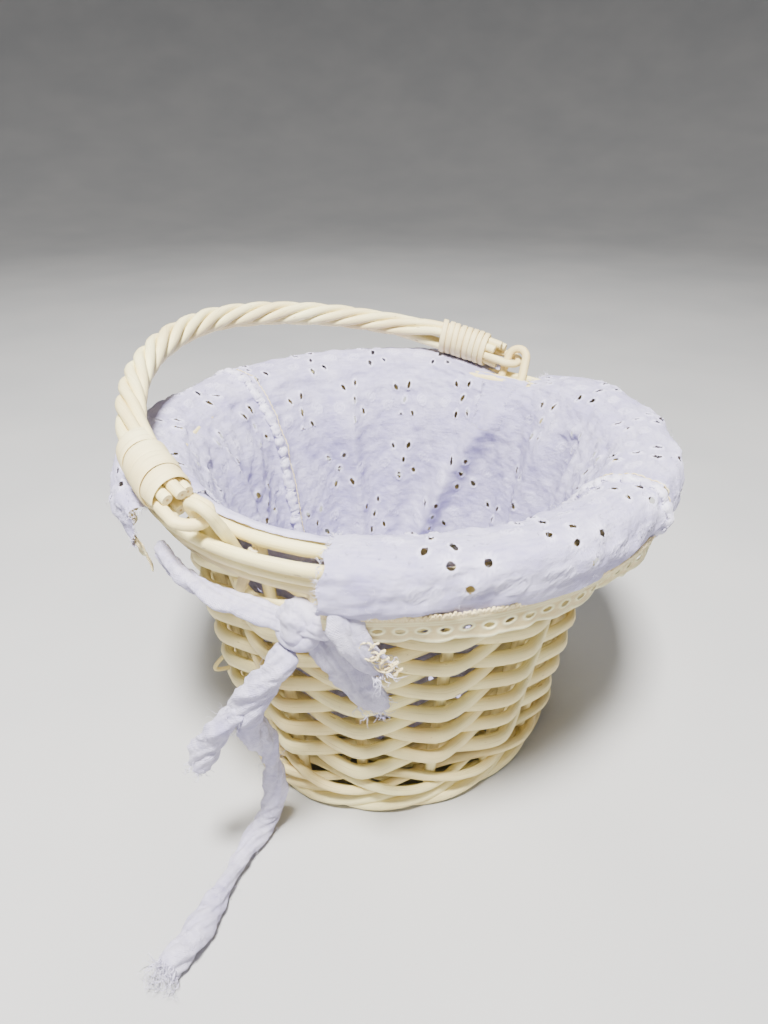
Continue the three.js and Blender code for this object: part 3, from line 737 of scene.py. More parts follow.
def handle_rod_parts(twists):
    """Five rods share a ring of seven places in each binding, then spread to an even ring and
    twist round the arch, the twist starting and stopping over a share of the way."""
    phi = np.linspace(phi_at(9.0), math.pi - phi_at(9.0), 4000)
    length = path_lengths(arch(phi))
    bound = np.interp(phi_at(BINDING_TO), phi, length)
    whole = length[-1]
    parts = []
    for i, place in enumerate(ROD_PLACES):
        start = np.interp(phi_at((10.5, 13.5, 12.4, 9.6, 11.6)[i]), phi, length)
        stop = whole - np.interp(phi_at((12.0, 10.2, 13.0, 11.2, 9.8)[i]), phi, length)
        at = np.linspace(start, stop, 520)
        here = np.interp(at, length, phi)
        loose = smooth_step(np.minimum(at, whole - at), bound, bound + 24)
        share = np.clip((at - bound) / (whole - 2 * bound), 0, 1)
        end = np.minimum(share, 1 - share)
        eased = np.where(end >= TWIST_EASE, (share - TWIST_EASE / 2) / (1 - TWIST_EASE),
                         np.where(share < 0.5, 0, 1)
                         + np.where(share < 0.5, 1, -1) * end ** 2
                         / (2 * TWIST_EASE * (1 - TWIST_EASE)))
        ring = place_angle(place) * (1 - loose) + loose * (math.radians(270) + (i - 3) * TURN / 5)
        drift = 0.12 * ripples(at[:, None], 45, 700 + i)
        radius = BUNDLE_RADIUS * (1 - loose) + (TWIST_RADIUS + drift) * loose
        path, away = beside_arch(here, radius, ring + TURN * twists * eased)
        part = rod_parts(path, away, *RODS["handle"], (stop - start) / 519, 720 + i)
        parts.append(place_handle(part))
    return parts


def binding_parts(far):
    """A flat skein wound round the bundle: a crowned strip on a helix, each turn a little
    uneven, with its last turn tucked over the others."""
    turns, wide = (8.0, 1.42) if far else (3.3, 3.85)
    t = np.linspace(0, 1, int(turns * 56))
    height = BINDING_FROM + (BINDING_TO - BINDING_FROM) * t
    uneven = 0.25 * ripples(t[:, None] * turns, 1.4, 760 + far)
    phi = phi_at(height + uneven)
    if far:
        phi = math.pi - phi
    last = bump(t, 1.0, 0.5 / turns) if far else bump(t, 0.42, 0.35 / turns)
    radius = BINDING_RADIUS + 0.14 * ripples(t[:, None] * turns, 0.8, 770 + far) + 0.55 * last
    way = 1 if far else -1
    path, away = beside_arch(phi, radius, way * TURN * turns * t)
    deep = (0.68 if far else 0.5) * (1 - 0.5 * bump(t, 0, 0.01) - 0.5 * bump(t, 1, 0.01))
    outline = oval_outline(deep, np.full(len(t), wide), 12, 3.2)
    part = sweep(path, away, outline, tint=0.35 + 0.3 * np.sin(TURN * turns * t)[:, None] * 0.4)
    # A plain core under the turns closes the chinks between them. Its tint of 0.15, below any rod's, draws
    # it in the darker, warm willow tone: painted shade in the chinks.
    core_phi = phi_at(np.linspace(BINDING_FROM + 1, BINDING_TO - 1, 12))
    core = arch(math.pi - core_phi if far else core_phi)
    core_part = sweep(core, (0, 1.0, 0), oval_outline(CORE_RADIUS, CORE_RADIUS, 24), tint=0.15)
    return [place_handle(part), place_handle(core_part)]


def handle_loop_parts(side):
    """The handle's end loop: one thin rod whose U hangs in the rim loop, its legs in two of
    the binding's places."""
    def leg(place, heights):
        phi = phi_at(np.array(heights, float))
        return beside_arch(phi, np.full(len(heights), BUNDLE_RADIUS),
                           np.full(len(heights), place_angle(place)))[0]
    arc = np.linspace(math.pi, TURN, 9)
    bend = np.stack([-PIVOT_X + 6.5 * np.cos(arc), 0 * arc, 6.5 + 6.5 * np.sin(arc)], -1)
    points = np.concatenate([leg(0, [32, 25, 18]), bend, leg(3, [18, 25, 32])])
    path = smooth_route(points, 0.7) * np.array([-side, 1, 1])
    return place_handle(rod_parts(path, np.array([0, 1.0, 0]), *RODS["loop"], 0.7, 780 + side))


# ---------------------------------------------------------------- cloth pieces

PLEATS = [  # angle at z 100 and its lean in degrees a millimetre, depth and half width
    (57, 0.02, 2.8, 5.0), (8, -0.44, 5.2, 6.5), (33, -0.25, 2.0, 7.0), (90, 0.0, 1.6, 5.0),
    (76, 0.1, 1.5, 5.0), (118, 0.06, 2.6, 6.0), (141, -0.05, 2.2, 6.0), (165, 0.1, 2.0, 5.0),
    (196, -0.1, 2.4, 6.0), (224, 0.1, 2.8, 6.5), (252, 0.0, 2.2, 6.0), (283, -0.08, 2.6, 6.0),
    (305, 0.1, 3.0, 6.0), (332, -0.12, 2.6, 6.0)]
BAG_ROUND = 512.0  # flat width of the liner, all the way round


def slack(angle, z):
    """How far the liner hangs in from the weave, in mm: a few leaning pleats, each a bell
    across the angle, over soft ripples that are three times as tall as they are wide, with a
    step at each seam."""
    place = np.stack([85 * np.cos(angle), 85 * np.sin(angle), 0.33 * z], -1)
    hang = 2.6 + 2.3 * ripples(place, 38, 21) + 1.1 * ripples(place, 14, 22)
    for at, lean, depth, width in PLEATS:
        middle = np.radians(at + lean * (z - 100))
        off = np.degrees((angle - middle + math.pi) % TURN - math.pi)
        hang = hang + 1.8 * depth * bump(off, 0, width * 0.8)
    for seam in (math.pi / 2, -math.pi / 2):
        # One panel hangs further in than the other at a seam, which leaves a crease there.
        off = np.degrees((seam - angle + math.pi) % TURN - math.pi)
        hang = hang + 2.6 * smooth_step(off, -1.6, -0.4) * np.exp(-np.maximum(off, 0) / 9)
    crumple = np.stack([85 * np.cos(angle), 85 * np.sin(angle), z], -1)
    hang = hang + 0.42 * ripples(crumple, 8, 23) + 0.16 * ripples(crumple, 3.4, 24)
    hang = np.where(hang > 0.3, hang, 0.3 * np.exp(np.minimum(hang - 0.3, 0) / 0.3))
    return hang * (0.25 + 0.75 * smooth_step(137 - z, 0, 26))


def cut_eyelets(s, t, eyelets, cell):
    """Moves the grid points next to each eyelet's edge onto it, and tells for each point
    whether it lies in a hole, how many mm it is outside one, and how high thread stands."""
    s, t = s.copy(), t.copy()
    inside = np.zeros(s.shape, bool)
    raised = np.zeros(s.shape)
    for at_s, at_t, long, wide, turn, rays in eyelets:
        near = (np.abs(s - at_s) < long + 6) & (np.abs(t - at_t) < long + 6)
        c, d = math.cos(turn), math.sin(turn)
        x = (s[near] - at_s) * c + (t[near] - at_t) * d
        y = (t[near] - at_t) * c - (s[near] - at_s) * d
        ratio = np.maximum(np.hypot(x / long, y / wide), 1e-6)
        radius = np.hypot(x, y) / ratio
        away = (ratio - 1) * radius
        moved = np.where(np.abs(away) < 0.72 * cell, 1 / ratio, 1.0)
        s[near] = at_s + (x * c - y * d) * moved
        t[near] = at_t + (x * d + y * c) * moved
        inside[near] |= (ratio < 1.001) | (moved != 1)
        ring = bump(away, 0.55, 0.5)
        if rays:
            spokes = 0.5 + 0.5 * np.cos(rays * np.arctan2(y, x))
            ring = np.maximum(ring, 0.75 * spokes * bump(away, 1.6, 1.2))
        raised[near] = np.maximum(raised[near], ring)
    return s, t, inside, raised


def petal_relief(s, t, petals):
    """Embroidered petals: inside an ellipse, thread ridges lie in arcs 1.5 mm apart."""
    raised = np.zeros(s.shape)
    for at_s, at_t, long, wide, turn in petals:
        near = (np.abs(s - at_s) < long + 1) & (np.abs(t - at_t) < long + 1)
        c, d = math.cos(turn), math.sin(turn)
        x = (s[near] - at_s) * c + (t[near] - at_t) * d
        y = (t[near] - at_t) * c - (s[near] - at_s) * d
        ratio = np.hypot((x + 0.3 * long) / long, y / wide)
        arcs = 0.5 + 0.5 * np.cos(TURN * ratio * long / 1.7)
        raised[near] = np.maximum(raised[near], 0.75 * arcs * smooth_step(1.05 - ratio, 0, 0.15))
    return raised


def leaf_motifs(low_s, high_s, low_t, high_t, seed):
    """Sprigs of five oval eyelets with a petal on either side, staggered 40 by 27 mm."""
    rng = np.random.default_rng(seed)
    sprig = [(-3.1, 7.6, 0.2), (6.2, 6.6, -0.5), (0, 0, 0.3), (-6.2, -6.4, -0.6), (2.9, -8.3, 0.1)]
    eyelets, petals = [], []
    for row, at_t in enumerate(np.arange(low_t, high_t, 27.0)):
        for at_s in np.arange(low_s + 20 * (row % 2), high_s, 40.0):
            cs, ct = at_s + rng.uniform(-2, 2), at_t + rng.uniform(-2, 2)
            for ds, dt, turn in sprig:
                grown = rng.uniform(0.85, 1.12)
                eyelets.append((cs + ds, ct + dt, 1.75 * grown, 1.05 * grown,
                                math.pi / 2 + turn + rng.uniform(-0.25, 0.25), 0))
            for ds, dt, turn in ((-11.5, 1.0, 0.35), (11.0, -2.0, math.pi - 0.3)):
                petals.append((cs + ds, ct + dt, 4.8, 3.1, turn))
    return eyelets, petals


def lift_off(points, height):
    """Moves a grid out on its seen side: point + height x unit(down the rows x across)."""
    along_cols = np.gradient(points, axis=1)
    along_rows = np.gradient(points, axis=0)
    return points + height[..., None] * unit(np.cross(along_rows, along_cols))


def raised_line(surface, angle, t, height):
    """Points of a line on a cloth surface, lifted off its seen side, and those directions."""
    angle, t = np.broadcast_arrays(angle, t)
    here = surface(angle, t)
    up = unit(np.cross(surface(angle, t + 0.4) - here, surface(angle + 0.004, t) - here))
    return here + np.asarray(height)[..., None] * up, up


def cloth_part(s, t, surface, eyelets, petals, cell, thread_height, extra=None):
    """A cloth grid: eyelets cut in the flat cloth, then surface(s, t) places every point, and
    embroidery stands off it along the normals."""
    s, t, inside, raised = cut_eyelets(s, t, eyelets, cell)
    raised = np.maximum(raised, petal_relief(s, t, petals))
    if extra is not None:
        raised = np.maximum(raised, extra(s, t))
    points = lift_off(surface(s, t), thread_height * raised)
    flat = inside.ravel()
    part = grid_part(points, s, t, keep=lambda f: ~flat[f].all(axis=1))
    part["faces"] = [(f[:, ::-1], uv[:, ::-1], m) for f, uv, m in part["faces"]]
    return part, raised.ravel()


def bag_profile():
    """The liner's section from the middle of its floor, round the corner and up the wall: a
    smooth route through (inset from the stake line, height)."""
    places = [(0, 19.4), (20, 19.2), (40, 19.2), (56, 19.4), (62.5, 21.0), (65.4, 25.5)]
    wall = [(stake_line(z) - 8.5, z) for z in (36, 50, 70, 90, 108, BAG_TOP)]
    return smooth_route(places + wall, 0.25)


BAG_FLOOR = 62.0  # length of the section that lies on the floor


def bag_surface(angle, t):
    """A point of the liner at an angle and a length t along its section, hanging in from the
    weave by slack(), its floor rumpled by low ripples."""
    profile = bag_profile()
    length = path_lengths(profile)
    reach = np.interp(t, length, profile[:, 0])
    z = np.interp(t, length, profile[:, 1])
    reach = reach + np.maximum(t - length[-1], 0) * 0.2
    inward = slack(angle, z) * smooth_step(t, 30, BAG_FLOOR + 14)
    lie = np.stack([reach * np.cos(angle), reach * np.sin(angle)], -1)
    rumple = smooth_step(reach, 3, 30) * (1 - smooth_step(t, BAG_FLOOR - 6, BAG_FLOOR + 12))
    z = z + np.maximum(t - length[-1], 0) + (0.9 + 0.9 * ripples(lie, 26, 24)) * rumple
    return oval(angle, reach - inward, z)


def bag_panel(name, low):
    """Half of the liner bag: its section carried round half the oval. The floor's rows are
    wider apart than the wall's, which have the eyelets."""
    cell = 0.78
    length = path_lengths(bag_profile())[-1]
    rows = np.concatenate([np.linspace(0.6, BAG_FLOOR, 24, endpoint=False),
                           np.arange(BAG_FLOOR, length, cell), [length]])
    wide = BAG_ROUND / 2
    cols = np.linspace(0, wide, int(wide / cell) + 1)
    s, t = np.meshgrid(cols, rows)
    eyelets, petals = leaf_motifs(17, wide - 8, BAG_FLOOR + 22, length - 6, 31)
    part, raised = cloth_part(s, t, lambda s, t: bag_surface(low + s / BAG_ROUND * TURN, t),
                              eyelets, petals, cell, 0.55)
    obj = make_piece(name, [part], [finish("lilac_eyelet_cotton")],
                     stitch=raised)
    return obj


def cuff_profile():
    """The cuff's section from the liner's top, out over the roll and down to its hem."""
    wall = [(stake_line(BAG_TOP) - 8.5 - CUFF_MIDDLE, BAG_TOP), (-22.4, 126), (-19.8, 132.6),
            (-17.2, 137.4), (-13.2, 141.8)]
    roll = [(CUFF_ROLL * math.cos(a), RIM_HEIGHT + CUFF_ROLL * math.sin(a))
            for a in np.radians(np.arange(120, -1, -15))]
    tuck = [(CUFF_ROLL - 0.7, RIM_HEIGHT - 4), (CUFF_HEM, HEM_Z)]
    route = smooth_route(wall + roll + tuck, 0.25)
    return np.stack([route[:, 0] + CUFF_MIDDLE, route[:, 1]], -1)


def edge_profile():
    """The liner's edge where no cuff covers the border: up behind the inner border rod and
    just over it."""
    route = smooth_route([(stake_line(BAG_TOP) - 8.5 - CUFF_MIDDLE, BAG_TOP), (-22.4, 126),
                          (-19.8, 132.0), (-17.4, 136.2), (-15.9, 138.9), (-13.6, 139.8),
                          (-11.3, 139.3)], 0.25)
    return np.stack([route[:, 0] + CUFF_MIDDLE + 0.4, route[:, 1]], -1)


def crest(angle):
    """Height of the cuff's top: the roll's own, or pressed down where the handle lies on it."""
    y = np.abs(CUFF_MIDDLE * SQUEEZE_RIM * 1.0056 * np.sin(angle))
    pressed = 140.8 + (y - 26.03) / math.tan(REST_TILT)
    return np.minimum(RIM_HEIGHT + CUFF_ROLL, pressed)


def cuff_surface(angle, t):
    """A point of the cuff at an angle and a length t along its section: soft-limited under
    the crest, carrying the liner's pleats over the edge, with lengthwise and small creases."""
    profile = cuff_profile()
    length = path_lengths(profile)
    reach = np.interp(t, length, profile[:, 0])
    z = np.interp(t, length, profile[:, 1])
    pleats = slack(angle, z) * (1 - smooth_step(t, 10, 34))
    place = np.stack([105 * np.cos(angle), 105 * np.sin(angle), 2.2 * t], -1)
    puff = 0.8 * ripples(place, 42, 25) + 0.6 * ripples(place, 15, 26)
    close = np.stack([105 * np.cos(angle), 105 * np.sin(angle), 1.2 * t], -1)
    puff = (puff + 0.32 * ripples(close, 6, 27)) * smooth_step(t, 0, 14)
    top = crest(angle)
    z = z + puff * 0.6 * bump(t, 36, 14) - 0.35 * pleats * bump(t, 28, 10)
    z = -1.1 * np.logaddexp(-z / 1.1, -top / 1.1)
    outer = smooth_step(t, 28, 44)
    return oval(angle, reach - pleats + puff * (2 * outer - 1), z)


def edge_surface(angle, t):
    """A point of the liner's bare edge, with the same pleats as the cuffs beside it."""
    profile = edge_profile()
    length = path_lengths(profile)
    z = np.interp(t, length, profile[:, 1])
    pleats = slack(angle, z) * (1 - smooth_step(t, 8, 21))
    place = np.stack([95 * np.cos(angle), 95 * np.sin(angle), t], -1)
    return oval(angle, np.interp(t, length, profile[:, 0]) - pleats,
                z + 0.25 * ripples(place, 8, 29) * smooth_step(t, 18, 26))


def edge_piece(name, low, high):
    """The liner's edge in a gap between the cuffs, turned over the inner border rod."""
    cell = 0.8
    length = path_lengths(edge_profile())[-1]
    wide = (high - low) * 88
    s, t = np.meshgrid(np.linspace(0, wide, int(wide / cell) + 1),
                       np.linspace(0, length, int(length / cell) + 1))
    part, raised = cloth_part(s, t, lambda s, t: edge_surface(low + s / wide * (high - low), t),
                              [], [], cell, 0.3, lambda s, t: 0.6 * bump(t, length - 1.2, 0.6))
    obj = make_piece(name, [part], [finish("lilac_eyelet_cotton")],
                     stitch=raised)
    return obj


def cuff_piece(name, span, nodes):
    """A cuff over the border: its section carried along the rim between two cut ends."""
    cell = 0.72
    length = path_lengths(cuff_profile())[-1]
    low, high = span
    wide = (high - low) * (CUFF_MIDDLE + 6)
    s, t = np.meshgrid(np.linspace(0, wide, int(wide / cell) + 1),
                       np.linspace(0, length, int(length / cell) + 1))
    rng = np.random.default_rng(33)
    eyelets, petals = [], []
    for at in np.arange(43, wide - 12, 40.0):
        at = at + rng.uniform(-1.5, 1.5)
        for ds, dt in ((-5.5, -3.0), (5.5, -2.6), (0, 4.6)):
            eyelets.append((at + ds, length - 15 + dt, 1.4, 1.35, 0, 12))
        petals += [(at - 11, length - 9.5, 6.0, 3.4, 0.1), (at + 11, length - 9.5, 6.0, 3.4, math.pi)]
    leaves, leaf_petals = leaf_motifs(14, wide - 10, 9, length - 30, 34)
    eyelets = [e for e in eyelets + leaves if 3 < e[0] < wide - 3]
    petals += leaf_petals

    def surface(s, t):
        angle = low + s / wide * (high - low)
        edge = 1.1 * ripples(t[..., None], 17, 28) * (np.exp(-s / 9) - np.exp((s - wide) / 9))
        return cuff_surface(angle + edge / 105, t)

    part, raised = cloth_part(s, t, surface, eyelets, petals, cell, 0.6)
    obj = make_piece(name, [part], [finish("lilac_eyelet_cotton")], nodes,
                     stitch=raised)
    return obj


def lace_piece(name, span, nodes, scallop):
    """Lace below a cuff's hem: flat cotton that hangs in towards the wall, its edge in scallops
    (depth = 11.2 + 1.7 of a rectified sine), two worked eyelets to each, and raised cords."""
    cell = 0.42
    low, high = span
    hem = CUFF_MIDDLE + CUFF_HEM
    wide = (high - low) * (hem - 1)
    s, share = np.meshgrid(np.linspace(0, wide, int(wide / cell) + 1), np.linspace(0, 1, 29))

    def depth(s):
        return 11.2 + 1.7 * np.abs(np.sin(math.pi * s / scallop)) ** 0.7

    t = share * depth(s)
    eyelets = [(x, 6.9, 1.6, 1.05, 0, 0) for x in np.arange(scallop / 4, wide - 2, scallop / 2)]

    def cords(s, t):
        scalloped = bump(depth(s) - t, 0.9, 0.6)
        upper = bump(t, 3.1, 0.35) + bump(t, 4.2, 0.3)
        return np.maximum(np.maximum(scalloped, upper * 0.8), 0)

    def surface(s, t):
        angle = low + s / wide * (high - low)
        place = np.stack([118 * np.cos(angle), 118 * np.sin(angle)], -1)
        flare = (-2.0 * t / 11.5 + (1.1 * ripples(place, 34, 35) + 0.5 * ripples(place, 11, 36))
                 * smooth_step(t, 1, 12))
        z = HEM_Z + 0.3 - 0.92 * t + 0.35 * ripples(place, 20, 37) * t / 11.5
        return oval(angle, hem - 0.4 + flare, z)

    part, raised = cloth_part(s, t, surface, eyelets, [], cell, 0.3, cords)
    obj = make_piece(name, [part], [finish("ivory_cotton_lace")], nodes,
                     stitch=raised)
    thick = obj.modifiers.new("thickness", "SOLIDIFY")
    thick.thickness = 0.45 * MM
    thick.offset = -1
    return obj


def serging_parts(span, seed):
    """Overlocked edge where lace joins the cuff: a zigzag thread, 1.5 mm to a stitch, over a
    cord that waves a little, along the hem."""
    low, high = span
    hem = CUFF_MIDDLE + CUFF_HEM
    wide = (high - low) * hem
    parts = []
    for k, (amount, pitch, radius) in enumerate(((1.35, 1.5, SERGING_THREAD), (0.9, 2.1, 0.3))):
        s = np.arange(0.5, wide - 0.5, pitch / 6)
        angle = low + s / wide * (high - low)
        zig = saw(s / pitch)
        flutter = 0.3 * ripples(s[:, None], 4, seed + k)
        path = oval(angle, hem + 0.5 + 0.15 * k + 0.35 * zig, HEM_Z + 0.4 + amount * zig + flutter)
        parts.append(sweep(path, outwards(angle), oval_outline(radius, radius, 5), tint=0.5))
    return parts


def seam_line(angle, off, height, step):
    """A line up the liner's wall and over the cuff, at a height off the cloth: its points,
    the way off the cloth there, and the length along it."""
    wall_length = path_lengths(bag_profile())[-1]
    over_length = path_lengths(cuff_profile())[-1]
    t = np.arange(72, wall_length - step / 2, step)
    wall, wall_up = raised_line(bag_surface, angle + off / 82 + 0.004 * np.sin(t / 15), t,
                                np.full(len(t), height))
    r = np.arange(step / 2, over_length - 0.5, step)
    top, top_up = raised_line(cuff_surface, angle + off / (84 + 0.4 * r), r,
                              np.full(len(r), height))
    line, up = np.concatenate([wall, top]), np.concatenate([wall_up, top_up])
    return line, up, path_lengths(line)


def saw(turns):
    """A zigzag between -1 and 1 with slightly rounded corners: an arcsine of a sine."""
    return np.arcsin(0.96 * np.sin(TURN * turns)) / math.asin(0.96)


def seam_parts(angle):
    """A panel seam: the overlocked allowance, a lumpy ridge about 4 mm wide, with zigzag
    threads over it."""
    line, up, along = seam_line(angle, 0, 0.2, 0.8)
    lumps = 1 + 0.2 * ripples(along[:, None], 3.6, 41) + 0.16 * ripples(along[:, None], 9, 42)
    wander = np.cross(up, unit(np.gradient(line, axis=0))) * (0.5 * ripples(along[:, None], 8, 44))[:, None]
    parts = [sweep(line + wander, up, oval_outline(1.6 * lumps, 2.2 * lumps, 14), tint=0.5)]
    fine, up, along = seam_line(angle, 0, 1.35, 0.3)
    side = np.cross(up, unit(np.gradient(fine, axis=0)))
    for k, pitch in enumerate((2.3, 3.3)):
        wide = saw(along / pitch + 0.3 * k)
        zig = fine + side * (2.3 * wide)[:, None] - up * (0.5 * np.abs(wide))[:, None]
        parts.append(sweep(zig, up, oval_outline(SERGING_THREAD, SERGING_THREAD, 5), tint=0.6))
    return parts


def topstitch_parts(angle, off):
    """Topstitching beside a seam: a thread that dips into the cloth every 2.6 mm."""
    line, up, along = seam_line(angle, off, 0.0, 0.33)
    dip = 0.42 * np.abs(np.sin(math.pi * along / 2.6)) - 0.05
    return [sweep(line + up * dip[:, None], up, oval_outline(SEWING_THREAD, SEWING_THREAD, 5), tint=0.6)]


def scattered_threads(places, ways, length, seed):
    """Two ravelled threads from each place, about its way and 0.4 to 1.4 of the length."""
    rng = np.random.default_rng(seed)
    places = np.repeat(places, 2, axis=0)
    ways = np.repeat(ways, 2, axis=0)
    count = len(places)
    places = places + rng.normal(0, 0.25, (count, 3))
    ways = unit(ways) + rng.normal(0, 0.45, (count, 3))
    return threads(places, ways, length * rng.uniform(0.4, 1.4, count), RAVELLED_THREAD, 0.35, seed)


def cuff_scrap(seed):
    """A torn scrap of cuff that hangs below its near end with a few loops of its lace: a flat
    strip 24 mm long, ravelled threads at its end, and two lace cords that loop along its edge
    (a line plus uneven circles of about 1.9 mm)."""
    angle = np.radians([208.5, 209.5, 211.0, 213.0, 215.0])
    reach = np.array([113.5, 115.5, 116.0, 114.5, 113.0])
    points = oval(angle, reach, np.array([130.0, 124.0, 117.5, 111.0, 106.0]))
    strip, path = crumpled(points, [(0, 4.6), (0.3, 5.2), (0.7, 4.6), (1, 3.6)], (0.8, -0.5, 0),
                           seed, 0.3, 400.0)
    frays = [frayed_tip(path, 4.0, seed + 1, 60, 4.5)]
    cords = []
    for k, (out, drop) in enumerate(((1.0, 3.5), (0.2, 5.2))):
        turns = np.linspace(0, 4.2, 200)
        place = path[(np.interp(turns, [0, 4.2], [0.45, 0.98]) * (len(path) - 1)).astype(int)]
        away = unit(np.array([0.45, -0.9, 0]))
        size = 1.9 + 0.9 * ripples(turns[:, None], 1.7, seed + 3 + k)
        loop = (place + away * (drop + size * np.cos(TURN * turns))[:, None]
                + np.array([-0.6, -0.3, 0.0]) * out
                + np.array([0.0, 0.0, 1.0]) * (size * np.sin(TURN * turns + k))[:, None])
        cord = oval_outline(SERGING_THREAD, SERGING_THREAD, 6)
        cords.append(sweep(smooth_route(loop, 0.4), away, cord))
    return strip, frays, cords


def cuff_end_threads(seed):
    """A short nap over both cuffs, and ravelled threads at their cut ends."""
    parts = []
    length = path_lengths(cuff_profile())[-1]
    rng = np.random.default_rng(seed + 9)
    for low, high in (CUFF_BACK, CUFF_FRONT):
        # A short nap along the roll and the hem: fibres about 1.5 mm long.
        angle, t = rng.uniform(low, high, 420), rng.uniform(22, length, 420)
        places, up = raised_line(cuff_surface, angle, t, np.zeros(420))
        parts.append(threads(places, up + rng.normal(0, 0.5, (420, 3)),
                             rng.uniform(0.8, 2.4, 420), NAP, 0.6, seed + 8, 5, 3))
    for k, (angle, way) in enumerate(((CUFF_BACK[0], -1), (CUFF_BACK[1], 1),
                                      (CUFF_FRONT[0], -1), (CUFF_FRONT[1], 1))):
        t = np.linspace(3, length - 0.5, 70)
        places = cuff_surface(np.full_like(t, angle), t)
        side = way * np.stack([-np.sin(angle), np.cos(angle), 0 * angle])
        parts.append(scattered_threads(places, np.tile(side, (70, 1)), 2.0, seed + k))
    return parts


# ---------------------------------------------------------------- ties

def crumpled(points, radii, across, seed, flatness=0.74, turns_mm=62.0):
    """A twisted, crumpled strip of cloth as a closed tube: at length l and angle a its radius
    is R(l) times an ellipse that turns once in turns_mm, times shallow folds that run with the
    twist, times small creases; R goes through radii at even shares of the length."""
    corners = 44
    path = smooth_route(points, 0.55)
    along = path_lengths(path)
    share = along / along[-1]
    size = np.interp(share, *zip(*radii)) * (1 + 0.05 * ripples(along[:, None], 9, seed))
    close = np.minimum(along, along[-1] - along)
    size = size * (0.35 + 0.65 * np.clip(close / 1.5, 0, 1) ** 0.5)
    a = np.arange(corners)[None] * TURN / corners
    twist = (TURN * along / turns_mm)[:, None]
    oval_share = 1 / np.hypot(np.cos(a - twist) / 1.12, np.sin(a - twist) / (1.12 * flatness))
    rolled = a - twist + 0.25 * np.sin(along / 7.0)[:, None]
    folds = 0.15 * np.abs(np.sin(2.5 * rolled)) + 0.07 * np.sin(7 * rolled + 2)
    place = np.stack([size[:, None] * np.cos(rolled), size[:, None] * np.sin(rolled),
                      0.55 * along[:, None] + 0 * a], -1)
    creases = 0.09 * ripples(place, 5.5, seed + 2) + 0.045 * ripples(place, 2.2, seed + 3)
    radius = size[:, None] * oval_share * (1 + folds + creases - 0.1)
    outline = np.stack([radius * np.cos(a), radius * np.sin(a)], -1)
    part = sweep(path, np.array(across, float), outline, tint=0.5)
    # What would sink into the ground flattens out just above it.
    z = part["points"][:, 2]
    part["points"][:, 2] = np.where(z < 1.2, 0.15 + 1.05 * np.exp((z - 1.2) / 1.05), z)
    return part, path


def knot_parts(centre, seed):
    """A pulled knot: a lumpy ball, size x (1 + folds round it), drawn out upwards, with one
    slanting wrap over it."""
    size = 7.0
    a, b = np.meshgrid(np.linspace(0, TURN, 72, endpoint=False), np.linspace(0.02, math.pi - 0.02, 48))
    ball = np.stack([np.sin(b) * np.cos(a), np.sin(b) * np.sin(a), np.cos(b)], -1)
    folds = 0.06 * np.sin(7 * ball[..., 2] + 6 * ball[..., 0] + seed) + 0.08 * ripples(ball, 1.2, seed)
    stretch = np.array([0.95, 1.0, 1.28])
    reach = size * (0.93 + folds + 0.03 * ripples(ball, 0.25, seed + 1))
    points = np.array(centre) + stretch * ball * reach[..., None]
    u, v = np.meshgrid(np.linspace(0, TURN, 73) * size, np.linspace(0, math.pi, 48) * size)
    part = grid_part(points[::-1], u, v, round_cols=True)
    top = len(part["points"])
    part["points"] = np.concatenate([part["points"], points[0].mean(0)[None], points[-1].mean(0)[None]])
    part["tint"] = np.append(part["tint"], [0.5, 0.5])
    c = np.arange(72)
    last = 47 * 72
    part["faces"].append((np.stack([np.full(72, top + 1), (c + 1) % 72, c], -1), np.zeros((72, 3, 2)), 0))
    part["faces"].append((np.stack([np.full(72, top), last + c, last + (c + 1) % 72], -1),
                          np.zeros((72, 3, 2)), 0))
    turn = np.linspace(0, TURN, 120, endpoint=False)
    away = np.stack([0.3 * np.cos(turn), np.sin(turn), 0.95 * np.cos(turn) + 0.5 * np.sin(turn)], -1)
    lumps = 1 + 0.1 * ripples(away, 1.2, seed + 5)
    wrap = sweep(np.array(centre) + unit(away) * (size - 0.9), away,
                 oval_outline(2.5 * lumps, 4.2 * lumps, 20, 2.2), ring=True)
    return [part, wrap]


def frayed_tip(path, radius, seed, count=60, length=6.0):
    """Ravelled threads that leave a torn end all round, bending where they like."""
    rng = np.random.default_rng(seed)
    ahead = unit(path[-1] - path[-6])
    off = rng.normal(size=(count, 3))
    off = off - (off @ ahead)[:, None] * ahead
    off = unit(off) * (radius * np.sqrt(rng.uniform(0, 1, count)))[:, None]
    starts = path[-1] - 1.5 * ahead + off
    starts[:, 2] = np.maximum(starts[:, 2], 0.4)
    ways = ahead + 0.09 * off + rng.normal(0, 0.25, (count, 3))
    part = threads(starts, ways, length * rng.uniform(0.3, 1.3, count), TORN_THREAD, 0.4, seed)
    part["points"][:, 2] = np.maximum(part["points"][:, 2], 0.12)
    return part


def lint(path, radius, seed, count=160):
    """Loose fibres 1 to 4 mm long that stand off a strip of torn cloth all along it."""
    rng = np.random.default_rng(seed)
    at = rng.integers(4, len(path) - 4, count)
    ahead = unit(path[at + 2] - path[at - 2])
    off = rng.normal(size=(count, 3))
    off = unit(off - (off * ahead).sum(1)[:, None] * ahead)
    starts = path[at] + off * radius * 0.85
    starts[:, 2] = np.maximum(starts[:, 2], 0.6)
    ways = off + 0.9 * ahead * rng.normal(size=(count, 1))
    part = threads(starts, ways, rng.uniform(1.2, 4.0, count), LINT, 0.5, seed, 6, 3)
    part["points"][:, 2] = np.maximum(part["points"][:, 2], 0.12)
    return part


# ---------------------------------------------------------------- settings

